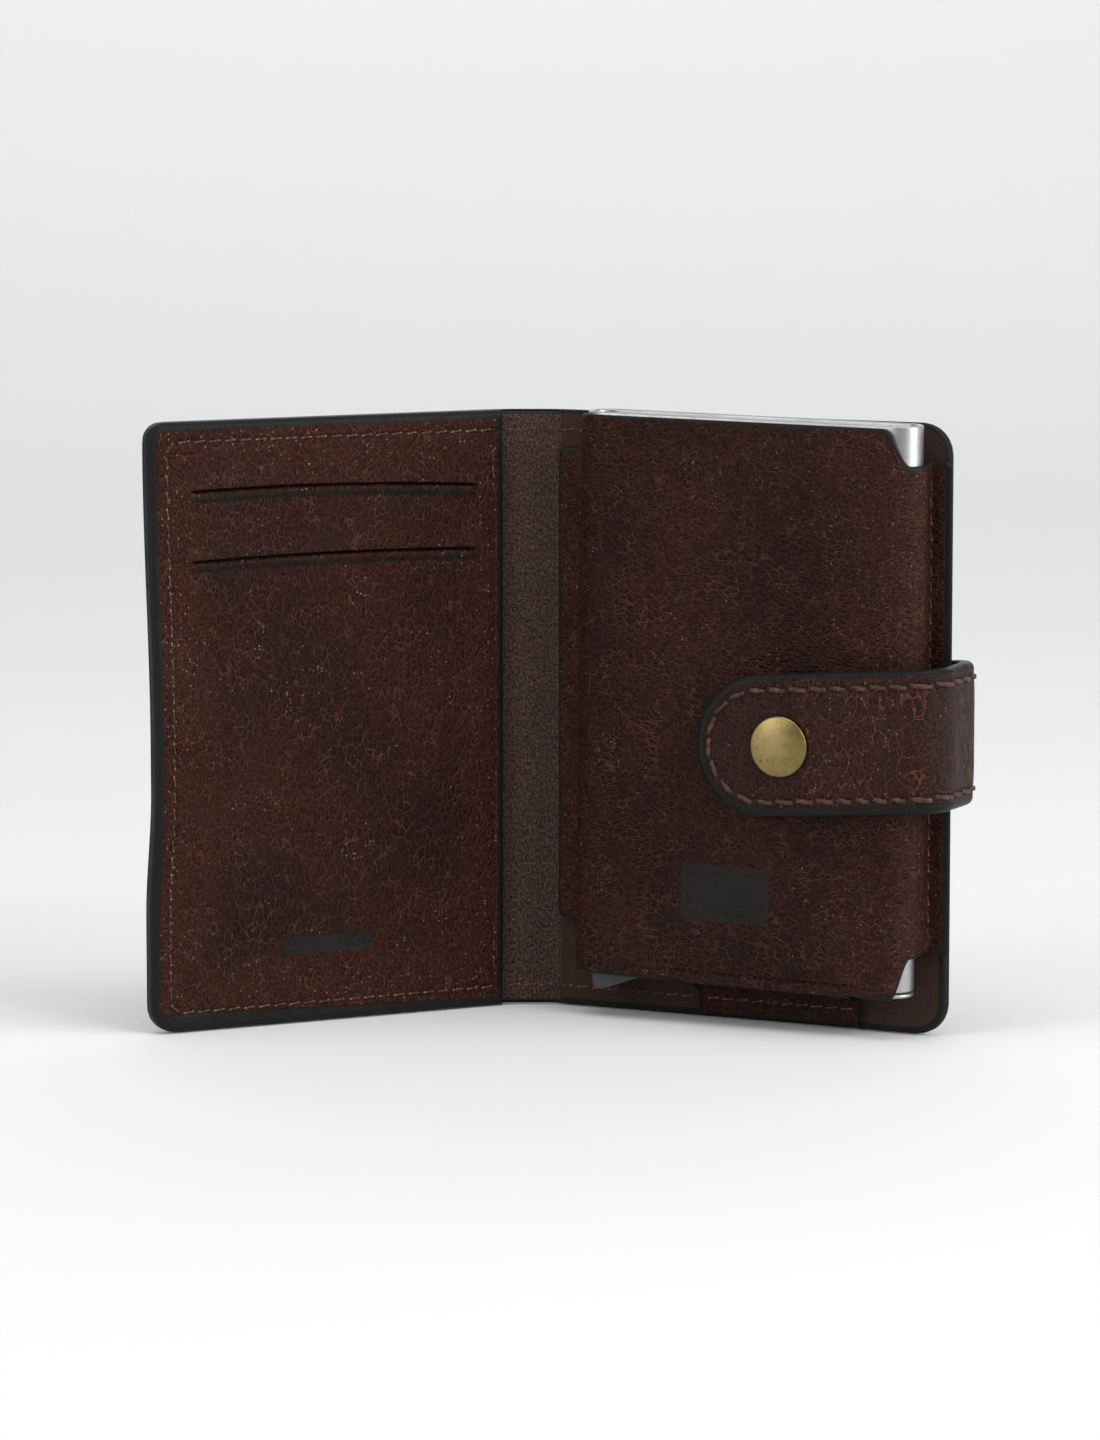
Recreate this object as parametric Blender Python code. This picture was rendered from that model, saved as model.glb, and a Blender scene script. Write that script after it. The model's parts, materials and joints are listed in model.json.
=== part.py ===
"""Bifold wallet: two leather leaves on a spine, a card case with an ejector lever, and a snap strap.

Each leaf is drawn in its own frame: x runs to the right as seen from inside the open wallet,
y runs away from the reader (depth = -y, positive towards the reader) and z is up.
"""
import math

import bmesh
import bpy
from mathutils import Vector
from mathutils.geometry import tessellate_polygon

MM = 0.001

# --- whole wallet ---
HEIGHT = 105.0 * MM
COVER_WIDTH = 67.2 * MM
CASE_LEAF_WIDTH = 73.9 * MM
SPINE_WIDTH = 9.3 * MM
CORNER_RADIUS = 5.5 * MM
CASE_FOLD = math.radians(25.6)
COVER_FOLD = math.radians(26.8)
HINGE_GAP = 0.1 * MM
ARC_STEPS = 12
ROUND_STEPS = 48

# --- layers of the leaves, as (back, front) depths ---
OUTER_LAYER = (-2.4 * MM, -1.4 * MM)
STIFFENER_LAYER = (-1.3 * MM, -0.9 * MM)
CASE_LINING_LAYER = (-0.8 * MM, 0.0)
COVER_LINING_LAYER = (-0.8 * MM, -0.55 * MM)
UPPER_POCKET_LAYER = (-0.45 * MM, -0.3 * MM)
LOWER_POCKET_LAYER = (-0.2 * MM, -0.05 * MM)
PANEL_LAYER = (0.05 * MM, 1.05 * MM)
SPINE_LINING_LAYER = (-1.2 * MM, -0.1 * MM)
STIFFENER_INSET = 4.0 * MM
LINING_INSET = 0.8 * MM
SPINE_LINING_INSET = 0.5 * MM

# --- card pockets of the cover leaf ---
SLIT_HEIGHTS = (93.0 * MM, 81.0 * MM)
SLIT_SPAN = (-59.6 * MM, -5.4 * MM)
SLIT_OPEN = 0.7 * MM
POCKET_MARGIN = 2.4 * MM
POCKET_BOTTOM = 5.0 * MM
POCKET_RISE = 3.0 * MM

# --- card case ---
CASE_LEFT = 7.7 * MM
CASE_WIDTH = 61.9 * MM
CASE_BACK = 0.4 * MM
CASE_THICK = 8.0 * MM
CASE_WALL = 1.0 * MM
CASE_BOTTOM = 8.5 * MM
CASE_TOP = 105.3 * MM
CAP_BOTTOM = 7.6 * MM
CAP_TOP = 8.3 * MM
CAP_LEFT = 21.0 * MM
GRIP_THICK = 0.4 * MM
GRIP_GAP = 0.1 * MM
GRIP_SPAN = (14.0 * MM, 63.0 * MM)
GRIP_HEIGHTS = (96.0 * MM, 101.0 * MM)

# --- leather wrap that holds the case ---
WRAP_GAP = 0.25 * MM
WRAP_THICK = 0.9 * MM
WRAP_BOTTOM = 6.8 * MM
WRAP_TOP = 104.3 * MM
WING_BOTTOM = 15.0 * MM
WING_TOP = 98.0 * MM
LEFT_FLANGE_END = 0.7 * MM
RIGHT_FLANGE_END = 73.1 * MM
FLANGE_BACK = 0.1 * MM
BOTTOM_WING = (28.5 * MM, 58.5 * MM)
FLANGE_TURN = 0.6 * MM
TURN_POINTS = 3
# the bottom wing's section from its flange's end to the face, each as the back (depth, z) and
# the front (depth, z) in millimetres
BOTTOM_WING_SECTION = (((0.1, 0.6), (1.0, 0.6)), ((0.1, 4.6), (1.0, 4.0)), ((1.4, 5.8), (1.9, 4.9)),
                       ((7.2, 6.5), (7.5, 5.6)), ((8.25, 6.9), (9.15, 6.1)))

# --- ejector ---
PIVOT = (63.0 * MM, 11.6 * MM)
PIN_RADIUS = 1.2 * MM
PIVOT_HOLE_RADIUS = 1.3 * MM
LEVER_THICK = 2.4 * MM
LEVER_HUB_RADIUS = 2.8 * MM
LEVER_OUTLINE = ((62.6, 9.0), (21.0, 9.0), (19.4, 7.2), (12.2, 4.6), (10.2, 4.5), (9.8, 5.6),
                 (9.8, 10.4), (11.0, 12.0), (30.0, 12.0), (58.0, 13.6), (60.8, 14.2))
LIFTER_STEPS = 5
LIFTER_SPAN = (16.0 * MM, 30.0 * MM)
LIFTER_DEPTH = 4.6 * MM
LIFTER_BASE = 12.1 * MM
LIFTER_LOW = 12.8 * MM
LIFTER_RISE = 0.35 * MM

# --- strap with its snap ---
STRAP_TILT = math.radians(4.4)
STRAP_WIDTH = 24.5 * MM
STRAP_CORNER = 78.3 * MM
STRAP_BEND_HEIGHT = 52.6 * MM
STRAP_FRONT = 12.8 * MM
STRAP_BACK = -3.6 * MM
STRAP_PLY = 1.05 * MM
PLY_GAP = 0.1 * MM
TONGUE_LENGTH = 45.4 * MM
TONGUE_CORNER = 0.5 * STRAP_WIDTH - 0.01 * MM
BASE_LENGTH = 32.0 * MM
BASE_CORNER = 4.0 * MM
SNAP_FROM_CORNER = 29.4 * MM
SNAP_HOLE_RADIUS = 1.9 * MM
STUD_AT = (-47.0 * MM, 50.3 * MM)
POST_HOLE_RADIUS = 4.4 * MM
CAP_PROFILE = ((0.0, 2.75), (2.6, 2.70), (4.3, 2.45), (5.0, 2.10), (5.3, 1.60), (5.2, 1.28),
               (4.6, 1.25), (1.5, 1.25), (1.5, -1.05), (0.0, -1.05))
SOCKET_PROFILE = ((0.0, -1.25), (4.4, -1.25), (4.6, -1.6), (4.4, -2.3), (3.9, -3.0), (2.9, -3.0),
                  (2.7, -2.4), (2.3, -1.9), (0.0, -1.9))
STUD_PROFILE = ((0.0, -2.5), (4.4, -2.5), (4.6, -2.75), (4.3, -3.1), (2.4, -3.3), (1.9, -3.6),
                (2.15, -4.2), (1.9, -4.7), (1.2, -4.9), (0.0, -4.95))
POST_PROFILE = ((0.0, -0.92), (4.0, -0.92), (4.0, -1.28), (1.5, -1.28), (1.5, -2.42), (0.0, -2.42))

LEATHER = (0.045, 0.018, 0.012)
SUEDE = (0.050, 0.026, 0.019)
TWILL = (0.075, 0.034, 0.022)
BOARD = (0.10, 0.075, 0.055)
ALUMINIUM = (0.42, 0.42, 0.42)
DARK_PLASTIC = (0.035, 0.035, 0.038)
FELT = (0.02, 0.02, 0.02)
BRASS = (0.23, 0.18, 0.09)
STEEL = (0.35, 0.34, 0.33)


def clear_scene():
    for obj in list(bpy.data.objects):
        bpy.data.objects.remove(obj, do_unlink=True)


def material(name, colour, roughness, metallic=0.0):
    mat = bpy.data.materials.new("mat_" + name)
    mat.use_nodes = True
    shader = mat.node_tree.nodes["Principled BSDF"]
    shader.inputs["Base Color"].default_value = (*colour, 1.0)
    shader.inputs["Roughness"].default_value = roughness
    shader.inputs["Metallic"].default_value = metallic
    mat.diffuse_color = (*colour, 1.0)
    return mat


def leather(name):
    return material(name, LEATHER, 0.62)


def suede(name):
    return material(name, SUEDE, 0.95)


def twill(name):
    return material(name, TWILL, 0.9)


def board(name):
    return material(name, BOARD, 0.85)


def aluminium(name):
    return material(name, ALUMINIUM, 0.38, 1.0)


def dark_plastic(name):
    return material(name, DARK_PLASTIC, 0.5)


def felt(name):
    return material(name, FELT, 0.95)


def brass(name):
    return material(name, BRASS, 0.4, 1.0)


def steel(name):
    return material(name, STEEL, 0.4, 1.0)


def empty(name, location, turn=0.0, tilt=0.0, parent=None):
    """A body's frame: its origin is on the body's joint axis."""
    frame = bpy.data.objects.new(name, None)
    bpy.context.scene.collection.objects.link(frame)
    frame.location = location
    frame.rotation_euler = (0.0, tilt, turn)
    frame.parent = parent
    return frame


def finish(name, bm, mat, parent, smooth=False):
    """Make the closed mesh an object of its own."""
    bmesh.ops.recalc_face_normals(bm, faces=bm.faces)
    if bm.calc_volume(signed=True) < 0.0:
        bmesh.ops.reverse_faces(bm, faces=bm.faces)
    mesh = bpy.data.meshes.new(name)
    bm.to_mesh(mesh)
    bm.free()
    mesh.materials.append(mat)
    if smooth:
        mesh.shade_smooth()
        mesh.set_sharp_from_angle(angle=math.radians(35.0))
    obj = bpy.data.objects.new(name, mesh)
    bpy.context.scene.collection.objects.link(obj)
    obj.parent = parent
    return obj


def prism(name, loops, low, high, place, mat, parent, smooth=False):
    """Extrude an outline with holes; place(a, b, t) gives the point at height t over (a, b)."""
    bm = bmesh.new()
    flat = [[Vector((a, b, 0.0)) for a, b in loop] for loop in loops]
    ends = []
    for t in (low, high):
        ends.append([bm.verts.new(place(a, b, t)) for loop in loops for a, b in loop])
    for tri in tessellate_polygon(flat):
        for end in ends:
            bm.faces.new([end[i] for i in tri])
    start = 0
    for loop in loops:
        count = len(loop)
        for i in range(count):
            a = start + i
            b = start + (i + 1) % count
            bm.faces.new((ends[0][a], ends[0][b], ends[1][b], ends[1][a]))
        start += count
    return finish(name, bm, mat, parent, smooth)


def over_leaf(a, b, t):
    """A point of a slab that lies in a leaf: (a, b) in its plane, t its depth to the reader."""
    return Vector((a, -t, b))


def upright(a, b, t):
    """A point of a wall that stands along z: a across, b the depth, t the height."""
    return Vector((a, -b, t))


def slab(name, loops, layer, mat, parent):
    return prism(name, loops, layer[0], layer[1], over_leaf, mat, parent)


def circle(centre, radius, steps=ROUND_STEPS):
    turn = 2.0 * math.pi / steps
    points = []
    for i in range(steps):
        points.append((centre[0] + radius * math.cos(i * turn),
                       centre[1] + radius * math.sin(i * turn)))
    return points


def arc(centre, radius, start, end, steps=ARC_STEPS):
    """Points along an arc, from start to end in degrees."""
    points = []
    for i in range(steps + 1):
        angle = math.radians(start + (end - start) * i / steps)
        points.append((centre[0] + radius * math.cos(angle), centre[1] + radius * math.sin(angle)))
    return points


def leaf_outline(near, far, low, high, radius):
    """A leaf's outline: square at the fold (near), rounded at the free edge (far)."""
    if far > near:
        lower = arc((far - radius, low + radius), radius, -90.0, 0.0)
        upper = arc((far - radius, high - radius), radius, 0.0, 90.0)
        return [(near, low)] + lower + upper + [(near, high)]
    upper = arc((far + radius, high - radius), radius, 90.0, 180.0)
    lower = arc((far + radius, low + radius), radius, 180.0, 270.0)
    return [(near, high)] + upper + lower + [(near, low)]


def stadium(left, right, back, front):
    """Cross-section with half-round ends, in (across, depth)."""
    radius = 0.5 * (front - back)
    middle = 0.5 * (front + back)
    return (arc((right - radius, middle), radius, -90.0, 90.0, 2 * ARC_STEPS)
            + arc((left + radius, middle), radius, 90.0, 270.0, 2 * ARC_STEPS))


def lathe(name, profile, centre, mat, parent):
    """Turn a (radius, depth) profile in millimetres about an axis square to the leaf."""
    bm = bmesh.new()
    rings = []
    for radius, depth in profile:
        y = -depth * MM
        if radius == 0.0:
            rings.append([bm.verts.new((centre[0], y, centre[1]))])
        else:
            rings.append([bm.verts.new((a, y, b)) for a, b in circle(centre, radius * MM)])
    for one, two in zip(rings, rings[1:]):
        for i in range(ROUND_STEPS):
            j = (i + 1) % ROUND_STEPS
            if len(one) == 1:
                bm.faces.new((one[0], two[i], two[j]))
            elif len(two) == 1:
                bm.faces.new((one[i], one[j], two[0]))
            else:
                bm.faces.new((one[i], one[j], two[j], two[i]))
    return finish(name, bm, mat, parent, True)


# --- case leaf ---

def case_leaf_covers(body):
    full = leaf_outline(HINGE_GAP, CASE_LEAF_WIDTH, 0.0, HEIGHT, CORNER_RADIUS)
    slab("outer_cover_right", [full], OUTER_LAYER, leather("outer_cover_right"), body)
    inner = leaf_outline(STIFFENER_INSET, CASE_LEAF_WIDTH - STIFFENER_INSET, STIFFENER_INSET,
                         HEIGHT - STIFFENER_INSET, CORNER_RADIUS)
    slab("stiffener_right", [inner], STIFFENER_LAYER, board("stiffener_right"), body)
    lining = leaf_outline(HINGE_GAP, CASE_LEAF_WIDTH - LINING_INSET, LINING_INSET,
                          HEIGHT - LINING_INSET, CORNER_RADIUS)
    slab("lining_right", [lining], CASE_LINING_LAYER, twill("lining_right"), body)


def case_body(body):
    right = CASE_LEFT + CASE_WIDTH
    front = CASE_BACK + CASE_THICK
    outer = stadium(CASE_LEFT, right, CASE_BACK, front)
    inner = stadium(CASE_LEFT + CASE_WALL, right - CASE_WALL, CASE_BACK + CASE_WALL,
                    front - CASE_WALL)
    prism("case_body", [outer, inner], CASE_BOTTOM, CASE_TOP, upright, aluminium("case_body"),
          body, True)


def case_bottom_cap(body):
    right = CASE_LEFT + CASE_WIDTH
    front = CASE_BACK + CASE_THICK
    radius = 0.5 * CASE_THICK
    outline = arc((right - radius, CASE_BACK + radius), radius, -90.0, 90.0, 2 * ARC_STEPS)
    outline += [(CAP_LEFT, front), (CAP_LEFT, CASE_BACK)]
    prism("case_bottom_cap", [outline], CAP_BOTTOM, CAP_TOP, upright,
          aluminium("case_bottom_cap"), body, True)


def grip_pads(body):
    outline = [(GRIP_SPAN[0], GRIP_HEIGHTS[0]), (GRIP_SPAN[1], GRIP_HEIGHTS[0]),
               (GRIP_SPAN[1], GRIP_HEIGHTS[1]), (GRIP_SPAN[0], GRIP_HEIGHTS[1])]
    back = CASE_BACK + CASE_WALL + GRIP_GAP
    slab("grip_pad_back", [outline], (back, back + GRIP_THICK), felt("grip_pad_back"), body)
    front = CASE_BACK + CASE_THICK - CASE_WALL - GRIP_GAP
    slab("grip_pad_front", [outline], (front - GRIP_THICK, front), felt("grip_pad_front"), body)


def lever_pin(body):
    back = CASE_BACK + CASE_WALL + GRIP_GAP
    front = CASE_BACK + CASE_THICK - CASE_WALL - GRIP_GAP
    prism("lever_pin", [circle(PIVOT, PIN_RADIUS)], back, front, over_leaf, steel("lever_pin"),
          body, True)


def wrap_section():
    """The wrap's section as (inner, outer) points in (across, depth), left flange to right."""
    radius = 0.5 * CASE_THICK
    middle = CASE_BACK + radius
    inside = radius + WRAP_GAP
    outside = inside + WRAP_THICK
    flange_front = FLANGE_BACK + WRAP_THICK
    left = CASE_LEFT + radius
    right = CASE_LEFT + CASE_WIDTH - radius
    pairs = [((LEFT_FLANGE_END, FLANGE_BACK), (LEFT_FLANGE_END, flange_front)),
             ((left - outside - FLANGE_TURN, FLANGE_BACK), (left - outside - FLANGE_TURN, flange_front)),
             ((left - inside, FLANGE_BACK), (left - outside, flange_front + FLANGE_TURN))]
    pairs += zip(arc((left, middle), inside, 180.0, 90.0), arc((left, middle), outside, 180.0, 90.0))
    for across in (BOTTOM_WING[0], 0.5 * sum(BOTTOM_WING), BOTTOM_WING[1]):
        pairs.append(((across, middle + inside), (across, middle + outside)))
    pairs += zip(arc((right, middle), inside, 90.0, 0.0), arc((right, middle), outside, 90.0, 0.0))
    turned = right + outside + FLANGE_TURN
    pairs += [((right + inside, FLANGE_BACK), (right + outside, flange_front + FLANGE_TURN)),
              ((turned, FLANGE_BACK), (turned, flange_front)),
              ((RIGHT_FLANGE_END, FLANGE_BACK), (RIGHT_FLANGE_END, flange_front))]
    return pairs


def wrap_ends(count, index):
    """The wrap's lowest and highest z at one section point: full on the face, short on the wings."""
    side = min(index, count - 1 - index)
    along = min(max((side - TURN_POINTS) / ARC_STEPS, 0.0), 1.0)
    share = along * along * (3.0 - 2.0 * along)
    return (WING_BOTTOM + (WRAP_BOTTOM - WING_BOTTOM) * share,
            WING_TOP + (WRAP_TOP - WING_TOP) * share)


def case_wrap(body):
    """One piece of leather: face, two side wings with sewn flanges, and a bottom wing."""
    pairs = wrap_section()
    count = len(pairs)
    first = TURN_POINTS + ARC_STEPS + 1
    last = first + 2
    bm = bmesh.new()
    grid = []
    for i, (inner, outer) in enumerate(pairs):
        low, high = wrap_ends(count, i)
        column = []
        if first <= i <= last:
            for back, front in BOTTOM_WING_SECTION:
                column.append((bm.verts.new(upright(outer[0], back[0] * MM, back[1] * MM)),
                               bm.verts.new(upright(outer[0], front[0] * MM, front[1] * MM))))
        else:
            column = [None] * len(BOTTOM_WING_SECTION)
        for z in (low, high):
            column.append((bm.verts.new(upright(inner[0], inner[1], z)),
                           bm.verts.new(upright(outer[0], outer[1], z))))
        grid.append(column)
    rows = len(BOTTOM_WING_SECTION) + 2
    cells = set()
    for i in range(count - 1):
        for j in range(rows - 1):
            if grid[i][j] and grid[i + 1][j]:
                cells.add((i, j))
    for i, j in cells:
        a, b, c, d = grid[i][j], grid[i + 1][j], grid[i + 1][j + 1], grid[i][j + 1]
        bm.faces.new((a[0], b[0], c[0], d[0]))
        bm.faces.new((d[1], c[1], b[1], a[1]))
        for one, two, beside in ((a, b, (i, j - 1)), (b, c, (i + 1, j)), (c, d, (i, j + 1)),
                                 (d, a, (i - 1, j))):
            if beside not in cells:
                bm.faces.new((one[0], one[1], two[1], two[0]))
    finish("case_wrap", bm, leather("case_wrap"), body, True)


# --- spine ---

def spine_layers(body):
    left = -SPINE_WIDTH + HINGE_GAP
    right = -HINGE_GAP
    cover = [(left, 0.0), (right, 0.0), (right, HEIGHT), (left, HEIGHT)]
    slab("spine_cover", [cover], OUTER_LAYER, leather("spine_cover"), body)
    low = SPINE_LINING_INSET
    high = HEIGHT - SPINE_LINING_INSET
    lining = [(left, low), (right, low), (right, high), (left, high)]
    slab("spine_lining", [lining], SPINE_LINING_LAYER, suede("spine_lining"), body)


# --- cover leaf ---

def slit(height):
    """A pocket mouth: a long slot with round ends, in the leaf's plane."""
    radius = 0.5 * SLIT_OPEN
    return (arc((SLIT_SPAN[1] - radius, height), radius, -90.0, 90.0, ARC_STEPS)
            + arc((SLIT_SPAN[0] + radius, height), radius, 90.0, 270.0, ARC_STEPS))


def cover_leaf_covers(body):
    full = leaf_outline(-HINGE_GAP, -COVER_WIDTH, 0.0, HEIGHT, CORNER_RADIUS)
    slab("outer_cover_left", [full, circle(STUD_AT, SNAP_HOLE_RADIUS)], OUTER_LAYER,
         leather("outer_cover_left"), body)
    inner = leaf_outline(-STIFFENER_INSET, -COVER_WIDTH + STIFFENER_INSET, STIFFENER_INSET,
                         HEIGHT - STIFFENER_INSET, CORNER_RADIUS)
    slab("stiffener_left", [inner, circle(STUD_AT, POST_HOLE_RADIUS)], STIFFENER_LAYER,
         board("stiffener_left"), body)
    lining = leaf_outline(-HINGE_GAP, -COVER_WIDTH + LINING_INSET, LINING_INSET,
                          HEIGHT - LINING_INSET, CORNER_RADIUS)
    slab("lining_left", [lining], COVER_LINING_LAYER, twill("lining_left"), body)


def pockets(body):
    left = SLIT_SPAN[0] - POCKET_MARGIN
    right = SLIT_SPAN[1] + POCKET_MARGIN
    layers = (UPPER_POCKET_LAYER, LOWER_POCKET_LAYER)
    for name, height, layer in zip(("upper_pocket", "lower_pocket"), SLIT_HEIGHTS, layers):
        top = height + POCKET_RISE
        outline = [(left, POCKET_BOTTOM), (right, POCKET_BOTTOM), (right, top), (left, top)]
        slab(name, [outline], layer, twill(name), body)


def pocket_panel(body):
    outline = leaf_outline(-HINGE_GAP, -COVER_WIDTH, 0.0, HEIGHT, CORNER_RADIUS)
    slab("pocket_panel", [outline] + [slit(z) for z in SLIT_HEIGHTS], PANEL_LAYER,
         leather("pocket_panel"), body)


def snap_stud(body):
    lathe("snap_stud", STUD_PROFILE, STUD_AT, brass("snap_stud"), body)
    lathe("snap_post", POST_PROFILE, STUD_AT, brass("snap_post"), body)


# --- strap: each piece is drawn from its bend, in a frame tilted with the strap ---

def ply_outline(length, radius, bend_end):
    """A ply's outline in (across, up): square at the bend, rounded at the other end."""
    half = 0.5 * STRAP_WIDTH
    upper = arc((-length + radius, half - radius), radius, 90.0, 180.0, 2 * ARC_STEPS)
    lower = arc((-length + radius, -half + radius), radius, 180.0, 270.0, 2 * ARC_STEPS)
    return [(bend_end, half)] + upper + lower + [(bend_end, -half)]


def strap_ply(name, outline, holes, low, high, mat, parent):
    slab(name, [outline] + holes, (low, high), mat, parent)


def strap_tongue(body):
    near = 0.5 * PLY_GAP
    far = near + STRAP_PLY
    hole = circle((-SNAP_FROM_CORNER, 0.0), SNAP_HOLE_RADIUS)
    outer = ply_outline(TONGUE_LENGTH, TONGUE_CORNER, -HINGE_GAP)
    strap_ply("strap_tongue_outer", outer, [hole], near, far, leather("strap_tongue_outer"), body)
    inner = ply_outline(TONGUE_LENGTH, TONGUE_CORNER, -far - HINGE_GAP)
    strap_ply("strap_tongue_inner", inner, [hole], -far, -near, suede("strap_tongue_inner"), body)
    lathe("snap_cap", CAP_PROFILE, (-SNAP_FROM_CORNER, 0.0), brass("snap_cap"), body)
    lathe("snap_socket", SOCKET_PROFILE, (-SNAP_FROM_CORNER, 0.0), brass("snap_socket"), body)


def strap_bridge(body):
    """The part that crosses the wallet's free edge, from the back bend to the front bend."""
    near = 0.5 * PLY_GAP
    far = near + STRAP_PLY
    half = 0.5 * STRAP_WIDTH
    span = STRAP_FRONT - STRAP_BACK
    outer = [(near, HINGE_GAP), (far, HINGE_GAP), (far, span - HINGE_GAP), (near, span - HINGE_GAP)]
    prism("strap_bridge_outer", [outer], -half, half, upright, leather("strap_bridge_outer"), body)
    inner = [(-far, far + HINGE_GAP), (-near, far + HINGE_GAP), (-near, span - far - HINGE_GAP),
             (-far, span - far - HINGE_GAP)]
    prism("strap_bridge_inner", [inner], -half, half, upright, suede("strap_bridge_inner"), body)


def strap_base(body):
    near = 0.5 * PLY_GAP
    far = near + STRAP_PLY
    outer = ply_outline(BASE_LENGTH, BASE_CORNER, -HINGE_GAP)
    strap_ply("strap_base_outer", outer, [], -far, -near, leather("strap_base_outer"), body)
    inner = ply_outline(BASE_LENGTH, BASE_CORNER, -far - HINGE_GAP)
    strap_ply("strap_base_inner", inner, [], near, far, suede("strap_base_inner"), body)


# --- ejector ---

def ejector(body):
    """The lever and its stepped lifter, drawn from the pivot."""
    middle = CASE_BACK + 0.5 * CASE_THICK
    outline = [(a * MM - PIVOT[0], b * MM - PIVOT[1]) for a, b in LEVER_OUTLINE]
    hub = arc((0.0, 0.0), LEVER_HUB_RADIUS, 100.0, -90.0, 2 * ARC_STEPS)
    hole = circle((0.0, 0.0), PIVOT_HOLE_RADIUS)
    low = middle - 0.5 * LEVER_THICK
    high = middle + 0.5 * LEVER_THICK
    slab("ejector_lever", [outline + hub, hole], (low, high), dark_plastic("ejector_lever"), body)
    left = LIFTER_SPAN[0] - PIVOT[0]
    right = LIFTER_SPAN[1] - PIVOT[0]
    base = LIFTER_BASE - PIVOT[1]
    step = LIFTER_DEPTH / LIFTER_STEPS
    start = middle - 0.5 * LIFTER_DEPTH
    stairs = [(start, base), (start + LIFTER_DEPTH, base)]
    for i in reversed(range(LIFTER_STEPS)):
        top = LIFTER_LOW - PIVOT[1] + i * LIFTER_RISE
        stairs.append((start + (i + 1) * step, top))
        stairs.append((start + i * step, top))
    prism("card_lifter", [stairs], left, right, lambda a, b, t: Vector((t, -a, b)),
          dark_plastic("card_lifter"), body)


def built_box():
    """Lowest and highest corner of all the built pieces, in world axes."""
    bpy.context.view_layer.update()
    corners = []
    for obj in bpy.data.objects:
        if obj.type == "MESH":
            corners += [obj.matrix_world @ v.co for v in obj.data.vertices]
    low = Vector([min(c[i] for c in corners) for i in range(3)])
    high = Vector([max(c[i] for c in corners) for i in range(3)])
    return low, high


def main():
    clear_scene()
    wallet = empty("wallet", (0.0, 0.0, 0.0))
    spine = empty("spine", (0.0, 0.0, 0.0), CASE_FOLD, 0.0, wallet)
    cover_leaf = empty("cover_leaf", (-SPINE_WIDTH, 0.0, 0.0), COVER_FOLD, 0.0, spine)
    bend = STRAP_CORNER
    base_frame = empty("strap_base", (bend, -STRAP_BACK, STRAP_BEND_HEIGHT), 0.0, -STRAP_TILT, wallet)
    bridge_frame = empty("strap_bridge", (0.0, 0.0, 0.0), 0.0, 0.0, base_frame)
    span = STRAP_FRONT - STRAP_BACK
    tongue_frame = empty("strap_tongue", (0.0, -span, 0.0), 0.0, 0.0, bridge_frame)
    lever_frame = empty("ejector", (PIVOT[0], 0.0, PIVOT[1]), 0.0, 0.0, wallet)

    case_leaf_covers(wallet)
    case_wrap(wallet)
    case_body(wallet)
    case_bottom_cap(wallet)
    grip_pads(wallet)
    lever_pin(wallet)
    strap_base(base_frame)
    spine_layers(spine)
    cover_leaf_covers(cover_leaf)
    pockets(cover_leaf)
    pocket_panel(cover_leaf)
    snap_stud(cover_leaf)
    strap_bridge(bridge_frame)
    strap_tongue(tongue_frame)
    ejector(lever_frame)

    low, high = built_box()
    wallet.location = (-0.5 * (low.x + high.x), -0.5 * (low.y + high.y), -low.z)
    bpy.context.view_layer.update()
    for frame in (wallet, spine, cover_leaf, bridge_frame, tongue_frame, lever_frame):
        print("frame", frame.name, [round(v, 6) for v in frame.matrix_world.translation])
    print("box", [round(v, 6) for v in high - low])


main()
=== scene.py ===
"""Bifold wallet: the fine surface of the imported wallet, with a camera, a pale floor and studio light.

Work is in millimetres in three flat frames, and goes to metres in the row frame when a mesh is made:
s runs along the open wallet from left to right with 0 at the case leaf's fold, n stands off the
fold plane towards the reader, and z is up. The strap has its own frame at its back bend.
"""

import json
import math

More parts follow.
